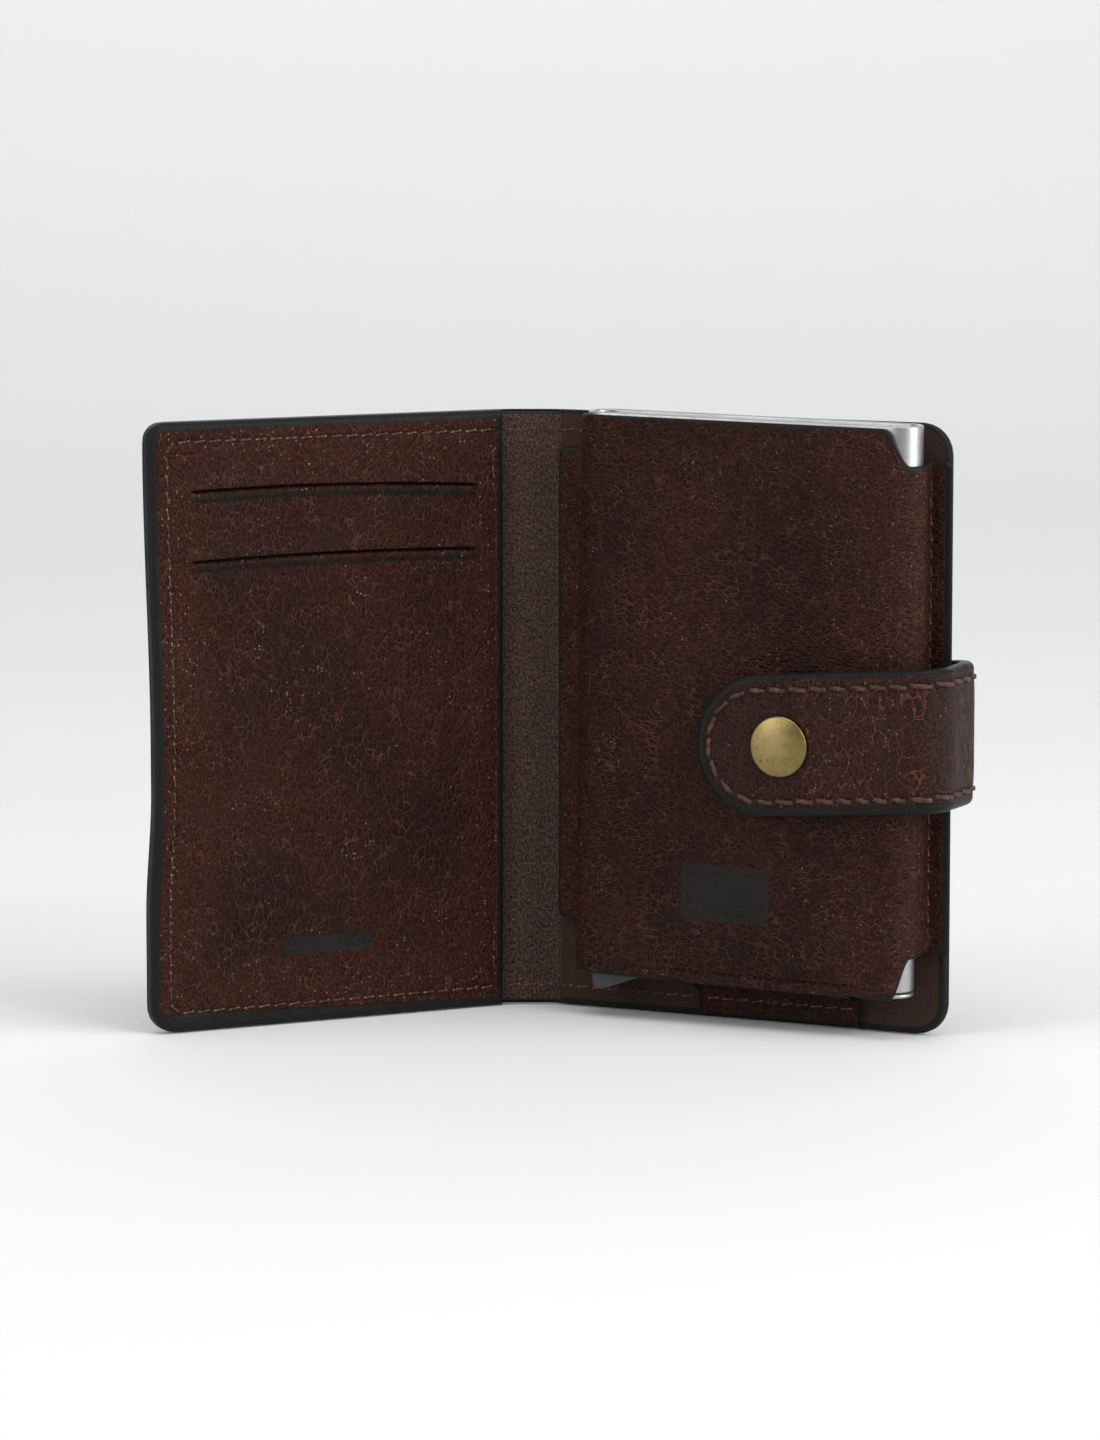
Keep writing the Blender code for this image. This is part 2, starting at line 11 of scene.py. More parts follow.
import bpy
import numpy as np
from mathutils import Vector
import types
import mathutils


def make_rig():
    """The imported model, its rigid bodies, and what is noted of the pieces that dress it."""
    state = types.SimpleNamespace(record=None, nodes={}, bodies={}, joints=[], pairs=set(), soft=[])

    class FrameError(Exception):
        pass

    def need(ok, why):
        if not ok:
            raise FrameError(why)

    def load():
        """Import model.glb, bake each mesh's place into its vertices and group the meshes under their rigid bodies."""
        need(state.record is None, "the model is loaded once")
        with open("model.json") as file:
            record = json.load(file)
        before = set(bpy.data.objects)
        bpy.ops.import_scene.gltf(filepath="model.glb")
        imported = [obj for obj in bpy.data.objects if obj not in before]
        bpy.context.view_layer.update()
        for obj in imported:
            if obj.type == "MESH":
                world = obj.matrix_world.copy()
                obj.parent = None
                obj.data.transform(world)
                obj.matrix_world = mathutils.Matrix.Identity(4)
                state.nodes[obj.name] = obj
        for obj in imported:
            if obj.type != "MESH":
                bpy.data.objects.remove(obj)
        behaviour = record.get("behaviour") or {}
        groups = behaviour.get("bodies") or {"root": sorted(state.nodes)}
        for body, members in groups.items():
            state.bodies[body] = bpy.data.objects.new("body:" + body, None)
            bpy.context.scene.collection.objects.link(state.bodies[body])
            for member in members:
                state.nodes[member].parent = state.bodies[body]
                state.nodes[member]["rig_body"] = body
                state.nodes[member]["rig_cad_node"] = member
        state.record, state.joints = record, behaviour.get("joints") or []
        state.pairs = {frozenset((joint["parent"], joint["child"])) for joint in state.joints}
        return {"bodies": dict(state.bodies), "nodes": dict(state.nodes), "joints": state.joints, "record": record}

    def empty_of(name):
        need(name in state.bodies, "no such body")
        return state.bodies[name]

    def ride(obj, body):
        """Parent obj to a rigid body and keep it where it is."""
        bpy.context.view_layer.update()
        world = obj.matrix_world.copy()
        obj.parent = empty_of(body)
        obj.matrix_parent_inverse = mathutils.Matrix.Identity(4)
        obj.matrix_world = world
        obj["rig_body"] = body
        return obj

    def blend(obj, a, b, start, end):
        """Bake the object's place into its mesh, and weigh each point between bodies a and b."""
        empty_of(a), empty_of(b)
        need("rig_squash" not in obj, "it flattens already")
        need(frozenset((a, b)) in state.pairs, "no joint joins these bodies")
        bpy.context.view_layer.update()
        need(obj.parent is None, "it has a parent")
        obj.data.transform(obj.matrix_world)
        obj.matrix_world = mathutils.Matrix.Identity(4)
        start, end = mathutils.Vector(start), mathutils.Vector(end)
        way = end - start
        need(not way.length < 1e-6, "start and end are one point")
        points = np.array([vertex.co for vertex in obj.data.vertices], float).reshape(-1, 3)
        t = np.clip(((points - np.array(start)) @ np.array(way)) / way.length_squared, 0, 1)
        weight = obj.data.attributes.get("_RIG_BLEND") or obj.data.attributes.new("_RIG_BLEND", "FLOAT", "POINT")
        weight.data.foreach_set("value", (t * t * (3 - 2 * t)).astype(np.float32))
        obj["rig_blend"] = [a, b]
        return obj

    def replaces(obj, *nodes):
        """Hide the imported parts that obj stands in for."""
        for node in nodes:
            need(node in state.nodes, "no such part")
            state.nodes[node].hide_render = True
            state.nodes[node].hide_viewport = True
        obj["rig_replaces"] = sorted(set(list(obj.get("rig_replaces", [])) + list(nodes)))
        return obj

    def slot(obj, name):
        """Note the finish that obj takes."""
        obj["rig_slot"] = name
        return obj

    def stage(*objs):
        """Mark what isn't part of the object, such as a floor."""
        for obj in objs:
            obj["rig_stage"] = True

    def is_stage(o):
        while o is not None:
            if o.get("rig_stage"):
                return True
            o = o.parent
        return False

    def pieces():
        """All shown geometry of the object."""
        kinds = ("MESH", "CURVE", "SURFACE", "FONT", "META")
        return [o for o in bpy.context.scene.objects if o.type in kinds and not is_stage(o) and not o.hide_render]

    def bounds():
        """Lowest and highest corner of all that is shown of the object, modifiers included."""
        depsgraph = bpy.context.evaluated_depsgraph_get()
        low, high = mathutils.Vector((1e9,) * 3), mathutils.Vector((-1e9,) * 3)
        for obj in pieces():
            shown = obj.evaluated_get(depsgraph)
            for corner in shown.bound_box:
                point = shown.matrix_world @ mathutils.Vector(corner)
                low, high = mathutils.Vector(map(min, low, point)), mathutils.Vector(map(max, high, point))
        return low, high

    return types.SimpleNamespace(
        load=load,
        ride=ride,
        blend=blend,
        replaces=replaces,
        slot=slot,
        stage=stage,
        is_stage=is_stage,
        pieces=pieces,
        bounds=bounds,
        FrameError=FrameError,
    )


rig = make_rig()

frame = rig.load()
CAD_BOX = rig.bounds()

MM = 0.001
JOINTS = {joint["name"]: joint for joint in frame["joints"]}
CASE_FOLD_AT = np.array(JOINTS["spine_fold"]["pos_m"])
COVER_FOLD_AT = np.array(JOINTS["cover_fold"]["pos_m"])
CASE_FOLD = -math.radians(JOINTS["spine_fold"]["range_deg"][0])
COVER_FOLD = -math.radians(JOINTS["cover_fold"]["range_deg"][0])
SPINE_WIDTH = float(np.linalg.norm(COVER_FOLD_AT - CASE_FOLD_AT)) / MM

# --- the wallet, in millimetres ---
HEIGHT = 105.0
CASE_LEAF_WIDTH = 73.9
COVER_WIDTH = 67.2
CORNER = 5.5
COVER_CORNERS = (4.6, 3.3)
FOLD_EASE = 2.4
COVER_EDGE = -SPINE_WIDTH - COVER_WIDTH
SPINE_MIDDLE = -0.5 * SPINE_WIDTH
OUTER_BACK = -2.4
OUTER_FRONT = -1.0
PANEL_FRONT = 1.05
LINING_FRONT = 0.0
CURL = 2.6
SEAM_INSET = 3.4
PITCH = 2.85
PANEL_RIGHT_SEAM = -SPINE_WIDTH - 2.2
STAMP_AT = (-SPINE_WIDTH - 34.4, 13.6)
STAMP_HALF = (8.8, 1.7)

# --- camera, worked out for the reader's side of the open wallet ---
CAMERA_ACROSS = 8.851
CAMERA_AWAY = 1043.61
CAMERA_UP = 185.907
CAMERA_PITCH = math.radians(7.396)
CAMERA_TURN = math.radians(0.2885)
CAMERA_LENS = 150.0

# --- case and wrap ---
CASE_LEFT = 7.7
CASE_RIGHT = 69.6
CASE_BACK = 0.4
CASE_THICK = 8.0
CASE_WALL = 1.0
CASE_BOTTOM = 8.5
CAP_LEFT = 21.0
CASE_TOP = 105.3
LEAN = math.radians(0.65)
LEAN_ABOUT = (38.0, 8.0)
CASE_MIDDLE = CASE_BACK + 0.5 * CASE_THICK
WRAP_THICK = 0.9
WRAP_INSIDE = 0.5 * CASE_THICK + 0.25
WRAP_BOTTOM = 7.4
WRAP_TOP = 104.9
WING_BOTTOM = 14.4
WING_TOP = 98.6
FLANGE_MIDDLE = 0.55
BOTTOM_WING = (28.5, 58.5)
PATCH_AT = (36.6, 23.4)
HEM = 2.4
LEANS_FULLY = 5.0

# --- strap ---
STRAP_WIDTH = 24.5
STRAP_THICK = 2.3
STRAP_BASE = 32.0
STRAP_TONGUE = 45.4
STRAP_BEND = 4.2
STRAP_SEAM = 2.7
STRAP_THREAD = {"pitch": 3.72, "length": 3.5, "width": 0.86, "slant": 0.14, "hole": 0.4, "lit_ends": False}
SNAP_FROM_CORNER = 29.4
STRAP_BACK_AT = np.array(JOINTS["strap_back_bend"]["pos_m"])
STRAP_FRONT_AT = np.array(JOINTS["strap_front_bend"]["pos_m"])
STRAP_SPAN = float(np.linalg.norm(STRAP_FRONT_AT - STRAP_BACK_AT)) / MM
STRAP_AXIS = np.array(JOINTS["strap_back_bend"]["axis"])


def ramp(x, low, high):
    """0 below low and 1 above high, smooth between."""
    t = np.clip((np.asarray(x, float) - low) / (high - low), 0.0, 1.0)
    return t * t * (3.0 - 2.0 * t)


def ridge(x, middle, half):
    """1 at the middle and 0 past half a width from it."""
    return 1.0 - ramp(np.abs(np.asarray(x, float) - middle), 0.0, half)


# ---------------------------------------------------------------- flat frames to the row frame

class Track:
    """A smooth plan curve: straight runs and bends, with its points and normals by length."""

    def __init__(self, start, heading, runs, step=0.05):
        """runs is a list of (length, turn in radians); the bend is even along its run."""
        points = [np.array(start, float)]
        angles = [heading]
        lengths = [0.0]
        for length, turn in runs:
            count = max(1, int(math.ceil(length / step)))
            for _ in range(count):
                middle = angles[-1] + 0.5 * turn / count
                along = np.array((math.cos(middle), math.sin(middle)))
                points.append(points[-1] + along * length / count)
                angles.append(angles[-1] + turn / count)
                lengths.append(lengths[-1] + length / count)
        self.points = np.array(points)
        self.angles = np.array(angles)
        self.lengths = np.array(lengths)
        self.length = lengths[-1]

    def at(self, along, off):
        """The point at a length along the track, off it to the left of travel."""
        x = np.interp(along, self.lengths, self.points[:, 0])
        y = np.interp(along, self.lengths, self.points[:, 1])
        angle = np.interp(along, self.lengths, self.angles)
        return x - off * np.sin(angle), y + off * np.cos(angle)


def fold_track():
    """The wallet's plan from the spine's middle to the case leaf's edge, and to the cover's edge."""
    half = 0.5 * SPINE_WIDTH
    to_case = Track((-half * math.cos(CASE_FOLD), -half * math.sin(CASE_FOLD)), CASE_FOLD,
                    [(half - FOLD_EASE, 0.0), (2.0 * FOLD_EASE, -CASE_FOLD),
                     (CASE_LEAF_WIDTH + 6.0, 0.0)])
    to_cover = Track((-half * math.cos(CASE_FOLD), -half * math.sin(CASE_FOLD)),
                     CASE_FOLD + math.pi,
                     [(half - FOLD_EASE, 0.0), (2.0 * FOLD_EASE, COVER_FOLD),
                      (COVER_WIDTH + 6.0, 0.0)])
    return to_case, to_cover


TO_CASE, TO_COVER = fold_track()


def row(x, y, z):
    """Millimetres from the case leaf's fold line to metres in the row frame."""
    return np.stack((x * MM + CASE_FOLD_AT[0], y * MM + CASE_FOLD_AT[1], z * MM), -1)


def curl(s, z):
    """How far the cover's free edge bends towards the reader at mid-height."""
    along = 1.0 - ramp(s, COVER_EDGE, COVER_EDGE + 26.0)
    up = ramp(z, 20.0, 42.0) * (1.0 - ramp(z, 50.0, 100.0))
    return CURL * along * along * up


def on_wallet(s, n, z):
    """A point of the open wallet, round its two folds."""
    s = np.asarray(s, float)
    n = n + np.where(s < SPINE_MIDDLE, curl(s, z), 0.0)
    x1, y1 = TO_CASE.at(s - SPINE_MIDDLE, -n)
    x2, y2 = TO_COVER.at(SPINE_MIDDLE - s, n)
    right = s >= SPINE_MIDDLE
    return row(np.where(right, x1, x2), np.where(right, y1, y2), z)


def on_case(s, n, z):
    """A point of the case leaf's rigid frame."""
    return row(s, -n, z)


def leaning(s, n, z):
    """The case and the wrap's face lean a little to the right; the wrap's sewn flanges don't."""
    share = math.sin(LEAN) * ramp(n, 1.2, 5.0)
    return s + share * (z - LEAN_ABOUT[1]), n, z - share * (s - LEAN_ABOUT[0])


def on_leaning_case(s, n, z):
    """A point of the card case, which leans as a whole."""
    s, _, z = leaning(s, n + LEANS_FULLY, z)
    return on_case(s, n, z)


def wrap_track():
    """The wrap's section through its middle layer, from its left flange's end to its right one's."""
    middle = WRAP_INSIDE + 0.5 * WRAP_THICK
    left_wall = CASE_LEFT + 0.5 * CASE_THICK - middle
    bend = 1.1
    rise = CASE_MIDDLE - FLANGE_MIDDLE - bend
    quarter = 0.5 * math.pi
    start = 0.9
    width = CASE_RIGHT - CASE_LEFT - CASE_THICK
    runs = [(left_wall - bend - start, 0.0), (quarter * bend, -quarter), (rise, 0.0),
            (quarter * middle, quarter), (width, 0.0), (quarter * middle, quarter), (rise, 0.0),
            (quarter * bend, -quarter), (left_wall - bend - start - 1.6, 0.0)]
    return Track((start, -FLANGE_MIDDLE), 0.0, runs), runs


WRAP, WRAP_RUNS = wrap_track()
FACE_START = sum(length for length, turn in WRAP_RUNS[:4])
FACE_END = FACE_START + WRAP_RUNS[4][0]
FACE_LEFT = CASE_LEFT + 0.5 * CASE_THICK
FACE_DEPTH = CASE_MIDDLE + WRAP_INSIDE + 0.5 * WRAP_THICK


def wing_track():
    """The bottom wing's section, in (depth, height), from the face's foot to the flange's end."""
    bend = 1.5
    turn = math.radians(80.0)
    start = 9.6
    lead = 0.6
    back = (FACE_DEPTH - FLANGE_MIDDLE - 2.0 * bend * (1.0 - math.cos(turn))) / math.sin(turn)
    fall = lead + 2.0 * bend * math.sin(turn) + back * math.cos(turn)
    runs = [(lead, 0.0), (bend * turn, -turn), (back, 0.0), (bend * turn, turn),
            (start - fall - 0.7, 0.0)]
    return Track((FACE_DEPTH, start), -0.5 * math.pi, runs), start


WING, WING_START = wing_track()


def on_wrap(p, off, z):
    """A point of the wrap: p along its section, z up the face, and down round the bottom wing."""
    x, y = WRAP.at(p, off)
    flat_s = FACE_LEFT + np.asarray(p, float) - FACE_START
    share = ramp(flat_s, BOTTOM_WING[0] - 5.0, BOTTOM_WING[0] + 1.0)
    share = share * (1.0 - ramp(flat_s, BOTTOM_WING[1] - 1.0, BOTTOM_WING[1] + 5.0))
    depth, height = WING.at(np.maximum(WING_START - z, 0.0), off)
    share = share * (z < WING_START)
    y = y * (1.0 - share) - depth * share
    x, y, z = leaning(x, -y, z * (1.0 - share) + height * share)
    return row(x, -y, z)


def strap_track():
    """The strap's section through its middle, from its sewn end to its tip."""
    quarter = 0.5 * math.pi
    reach = STRAP_BEND
    runs = [(STRAP_BASE - reach, 0.0), (quarter * reach, -quarter),
            (STRAP_SPAN - 2.0 * reach, 0.0), (quarter * reach, -quarter),
            (STRAP_TONGUE - reach, 0.0)]
    return Track((-STRAP_BASE, 0.0), 0.0, runs), runs


STRAP, STRAP_RUNS = strap_track()
STRAP_HALF = sum(length for length, turn in STRAP_RUNS[:2]) + 0.5 * STRAP_RUNS[2][0]
STRAP_BENDS_END = sum(length for length, turn in STRAP_RUNS[:4])
STRAP_SLOPE = -STRAP_AXIS[0] / STRAP_AXIS[2]


def strap_frame(along, away, up):
    """Millimetres along the strap's slope, away from the reader and up its hinge axis."""
    slope = np.array((STRAP_AXIS[2], 0.0, -STRAP_AXIS[0]))
    level = np.array((0.0, 1.0, 0.0))
    point = np.multiply.outer(along, slope) + np.multiply.outer(away, level)
    return point + np.multiply.outer(up, STRAP_AXIS)


def on_strap(p, off, up):
    """A point of the strap: p along it, off its middle to the outside, up across its width.

    The strap slopes, but its bends stand upright: its lower side is drawn in there.
    """
    x, y = STRAP.at(p, off)
    bends = ramp(p, STRAP_BASE - 16.0, STRAP_BASE - 4.0)
    bends = bends * (1.0 - ramp(p, STRAP_BENDS_END, STRAP_BENDS_END + 18.0))
    x = x - STRAP_SLOPE * (0.5 * STRAP_WIDTH - up) * bends
    return strap_frame(x, y, up) * MM + STRAP_BACK_AT


# ---------------------------------------------------------------- mesh makers

def spaced(low, high, step, fine_low=(), fine_high=(), extra=()):
    """Grid lines from low to high, with finer ones by distance from either end."""
    lines = {low, high}
    lines.update(low + d for d in fine_low)
    lines.update(high - d for d in fine_high)
    start = low + (max(fine_low) if fine_low else 0.0)
    stop = high - (max(fine_high) if fine_high else 0.0)
    count = max(1, int(round((stop - start) / step)))
    lines.update(start + (stop - start) * i / count for i in range(count + 1))
    lines.update(extra)
    kept = []
    for line in sorted(lines):
        if low - 1e-9 <= line <= high + 1e-9 and (not kept or line - kept[-1] > 0.03):
            kept.append(line)
    kept[-1] = high
    return np.array(kept)


EDGE_LINES = (0.0, 0.05, 0.15, 0.3, 0.5, 0.75, 1.0, 1.35, 1.8, 2.4)


def round_corners(s, z, left, right, low, high, radius, sides):
    """Bends a square grid's corners to arcs. Returns s, z and the distance to the nearest edge.

    radius is one number, or the lower corners' and the upper corners'.
    """
    radii = radius if isinstance(radius, tuple) else (radius, radius)
    edge = np.minimum(z - low, high - z)
    if "left" in sides:
        edge = np.minimum(edge, s - left)
    if "right" in sides:
        edge = np.minimum(edge, right - s)
    new_s = s.copy()
    new_z = z.copy()
    for side in sides:
        toward = -1.0 if side == "left" else 1.0
        for radius, up in zip(radii, (-1.0, 1.0)):
            centre_s = left + radius if side == "left" else right - radius
            centre_z = low + radius if up < 0.0 else high - radius
            across = np.clip((s - centre_s) * toward / radius, 0.0, 1.0)
            along = np.clip((z - centre_z) * up / radius, 0.0, 1.0)
            inside = (across > 0.0) & (along > 0.0)
            most = np.maximum(across, along)
            size = np.maximum(np.hypot(across, along), 1e-9)
            new_s = np.where(inside, centre_s + toward * radius * across * most / size, new_s)
            new_z = np.where(inside, centre_z + up * radius * along * most / size, new_z)
            edge = np.where(inside, np.minimum(edge, radius * (1.0 - most)), edge)
    return new_s, new_z, edge


def rounding(edge, radius):
    """How far a surface falls near its edge when the edge is rounded to a radius."""
    inside = np.clip(radius - edge, 0.0, radius)
    return radius - np.sqrt(np.maximum(radius * radius - inside * inside, 0.0))


def link(name, data):
    """Put a mesh, light or camera into the scene."""
    obj = bpy.data.objects.new(name, data)
    bpy.context.scene.collection.objects.link(obj)
    return obj


def make_object(name, points, faces, mat):
    """A smooth mesh object with its sharp edges kept."""
    mesh = bpy.data.meshes.new(name)
    mesh.from_pydata(np.asarray(points, float).reshape(-1, 3).tolist(), [], faces)
    mesh.validate()
    mesh.update()
    mesh.shade_smooth()
    mesh.set_sharp_from_angle(angle=math.radians(50.0))
    mesh.materials.append(mat)
    return link(name, mesh)


def set_attribute(obj, name, front, back):
    """Give each point a number or a vector, on the sheet's front and on its back."""
    values = np.concatenate((front, back)).astype(np.float32)
    kind, key = ("FLOAT_VECTOR", "vector") if values.ndim == 2 else ("FLOAT", "value")
    attribute = obj.data.attributes.new(name, kind, "POINT")
    attribute.data.foreach_set(key, values.ravel())


def sheet(name, s, z, edge, front, back, front_round, back_round, place, mat, paint, tone=0.0):
    """A thick sheet on a grid: its two faces, and its rounded sides where the edge is.

    s, z and edge are grids; front and back are numbers or grids of depth; place maps to the row
    frame. paint is a grid: above 0 where the edge paint covers the leather. tone is 1 where the
    leather is rubbed to its warmer colour and where painted glints gather on its grain, 0 where it
    is not, and below 0 on a blackened stamp.
    """
    rows, columns = s.shape
    top = front - rounding(edge, front_round) + 0.0 * s
    under = back + rounding(edge, back_round) + 0.0 * s
    points = np.concatenate((place(s, top, z).reshape(-1, 3), place(s, under, z).reshape(-1, 3)))
    count = rows * columns
    faces = []
    for i in range(rows - 1):
        for j in range(columns - 1):
            a = i * columns + j
            b = a + 1
            c = a + columns + 1
            d = a + columns
            faces.append((a, b, c, d))
            faces.append((count + d, count + c, count + b, count + a))
    rim = [(0, j) for j in range(columns)] + [(i, columns - 1) for i in range(1, rows)]
    rim += [(rows - 1, j) for j in range(columns - 2, -1, -1)]
    rim += [(i, 0) for i in range(rows - 2, 0, -1)]
    for one, two in zip(rim, rim[1:] + rim[:1]):
        a = one[0] * columns + one[1]
        b = two[0] * columns + two[1]
        faces.append((b, a, count + a, count + b))
    obj = make_object(name, points, faces, mat)
    outward(obj)
    flat = np.stack((s, z, 0.0 * s), -1).reshape(-1, 3)
    set_attribute(obj, "flat", flat, flat + np.array((0.0, 0.0, 3.0)))
    for layer, values in (("paint", paint), ("tone", tone)):
        values = (values + 0.0 * s).ravel()
        set_attribute(obj, layer, values, values)
    return obj


def outward(obj):
    """Turn the faces out if the closed mesh has them in."""
    mesh = obj.data
    volume = 0.0
    for polygon in mesh.polygons:
        corners = [mesh.vertices[i].co for i in polygon.vertices]
        for one, two in zip(corners[1:], corners[2:]):
            volume += corners[0].dot(one.cross(two))
    if volume < 0.0:
        mesh.flip_normals()


def rings_mesh(name, rings, mat, loop=False, place=None):
    """Skin closed rings of points; with loop the last ring joins the first, else the ends close."""
    count = len(rings[0])
    points = np.concatenate([np.asarray(ring, float) for ring in rings])
    faces = []
    total = len(rings)
    for k in range(total if loop else total - 1):
        one = k * count
        two = ((k + 1) % total) * count
        for i in range(count):
            j = (i + 1) % count
            faces.append((one + i, one + j, two + j, two + i))
    if not loop:
        faces.append(tuple(range(count - 1, -1, -1)))
        faces.append(tuple((total - 1) * count + i for i in range(count)))
    if place is not None:
        points = place(points[:, 0], points[:, 1], points[:, 2])
    obj = make_object(name, points, faces, mat)
    outward(obj)
    return obj


def turned(name, profile, centre, place, mat, steps=96):
    """Turn a (radius, depth) profile about an axis square to the leaf, at centre (s, z)."""
    angles = np.arange(steps) * 2.0 * math.pi / steps
    rings = []
    for radius, depth in profile:
        rings.append(np.stack((centre[0] + radius * np.cos(angles), np.full(steps, depth),
                               centre[1] + radius * np.sin(angles)), -1))
    return rings_mesh(name, rings, mat, place=place)


# ---------------------------------------------------------------- materials

class Shader:
    """A Principled material built from nodes; every input is a number, a colour or a socket."""

    def __init__(self, name):
        self.material = bpy.data.materials.new(name)
        self.material.use_nodes = True
        self.tree = self.material.node_tree
        self.main = self.tree.nodes["Principled BSDF"]

    def node(self, kind, inputs=None, **settings):
        made = self.tree.nodes.new(kind)
        for key, value in settings.items():
            setattr(made, key, value)
        for key, value in (inputs or {}).items():
            self.feed(made.inputs[key], value)
        return made

    def feed(self, socket, value):
        if isinstance(value, bpy.types.NodeSocket):
            self.tree.links.new(value, socket)
        elif isinstance(value, tuple) and len(value) == 3 and socket.type == "RGBA":
            socket.default_value = (*value, 1.0)
        else:
            socket.default_value = value

    def set(self, **inputs):
        for key, value in inputs.items():
            self.feed(self.main.inputs[key.replace("_", " ")], value)

    def flat(self):
        """The point's place on its flat sheet, in millimetres."""
        return self.node("ShaderNodeAttribute", attribute_name="flat").outputs["Vector"]

    def layer(self, name):
        """A sheet's paint or tone at the point."""
        return self.node("ShaderNodeAttribute", attribute_name=name).outputs["Fac"]

    def local(self):
        return self.node("ShaderNodeTexCoord").outputs["Object"]

    def scaled(self, vector, scale):
        made = self.node("ShaderNodeVectorMath", {0: vector, 1: scale}, operation="MULTIPLY")
        return made.outputs[0]

    def bent(self, vector, amount, scale):
        """The vector moved about by noise, for wavy lines."""
        noise = self.node("ShaderNodeTexNoise", {"Vector": vector, "Scale": scale, "Detail": 3.0})
        shift = self.node("ShaderNodeVectorMath", {0: noise.outputs["Color"], 1: (0.5, 0.5, 0.5)},
                          operation="SUBTRACT").outputs[0]
        move = self.scaled(shift, (amount, amount, amount))
        return self.node("ShaderNodeVectorMath", {0: vector, 1: move}, operation="ADD").outputs[0]

    def noise(self, vector, scale, detail=4.0, rough=0.55):
        made = self.node("ShaderNodeTexNoise", {"Vector": vector, "Scale": scale,
                                                "Detail": detail, "Roughness": rough})
        return made.outputs["Fac"]

    def cells(self, vector, scale, feature="DISTANCE_TO_EDGE"):
        made = self.node("ShaderNodeTexVoronoi", {"Vector": vector, "Scale": scale}, feature=feature)
        return made.outputs["Distance"]

    def range(self, value, low, high, out_low=0.0, out_high=1.0):
        made = self.node("ShaderNodeMapRange", {"Value": value, "From Min": low, "From Max": high,
                                                "To Min": out_low, "To Max": out_high},
                         interpolation_type="SMOOTHSTEP")
        return made.outputs["Result"]

    def math(self, operation, one, two):
        return self.node("ShaderNodeMath", {0: one, 1: two}, operation=operation).outputs[0]

    def times(self, one, two):
        return self.math("MULTIPLY", one, two)

    def plus(self, one, two):
        return self.math("ADD", one, two)

    def mix(self, share, one, two):
        """Colour mix by socket number, because a Mix node names its sockets by data type."""
        made = self.node("ShaderNodeMix", data_type="RGBA")
        self.feed(made.inputs[0], share)
        self.feed(made.inputs[6], one)
        self.feed(made.inputs[7], two)
        return made.outputs[2]

    def bump(self, height, distance, strength=1.0, normal=None):
        inputs = {"Height": height, "Distance": distance, "Strength": strength}
        if normal is not None:
            inputs["Normal"] = normal
        return self.node("ShaderNodeBump", inputs).outputs["Normal"]


PAINT = (0.0110, 0.0113, 0.0104)
PRESSED = (0.0190, 0.0165, 0.0155)
# Near-black brown of painted shade, for the grain's hollows and beside the creases.
HOLLOW_SHADE = (0.0042, 0.0017, 0.0012)
GLINT = (0.34, 0.235, 0.185)


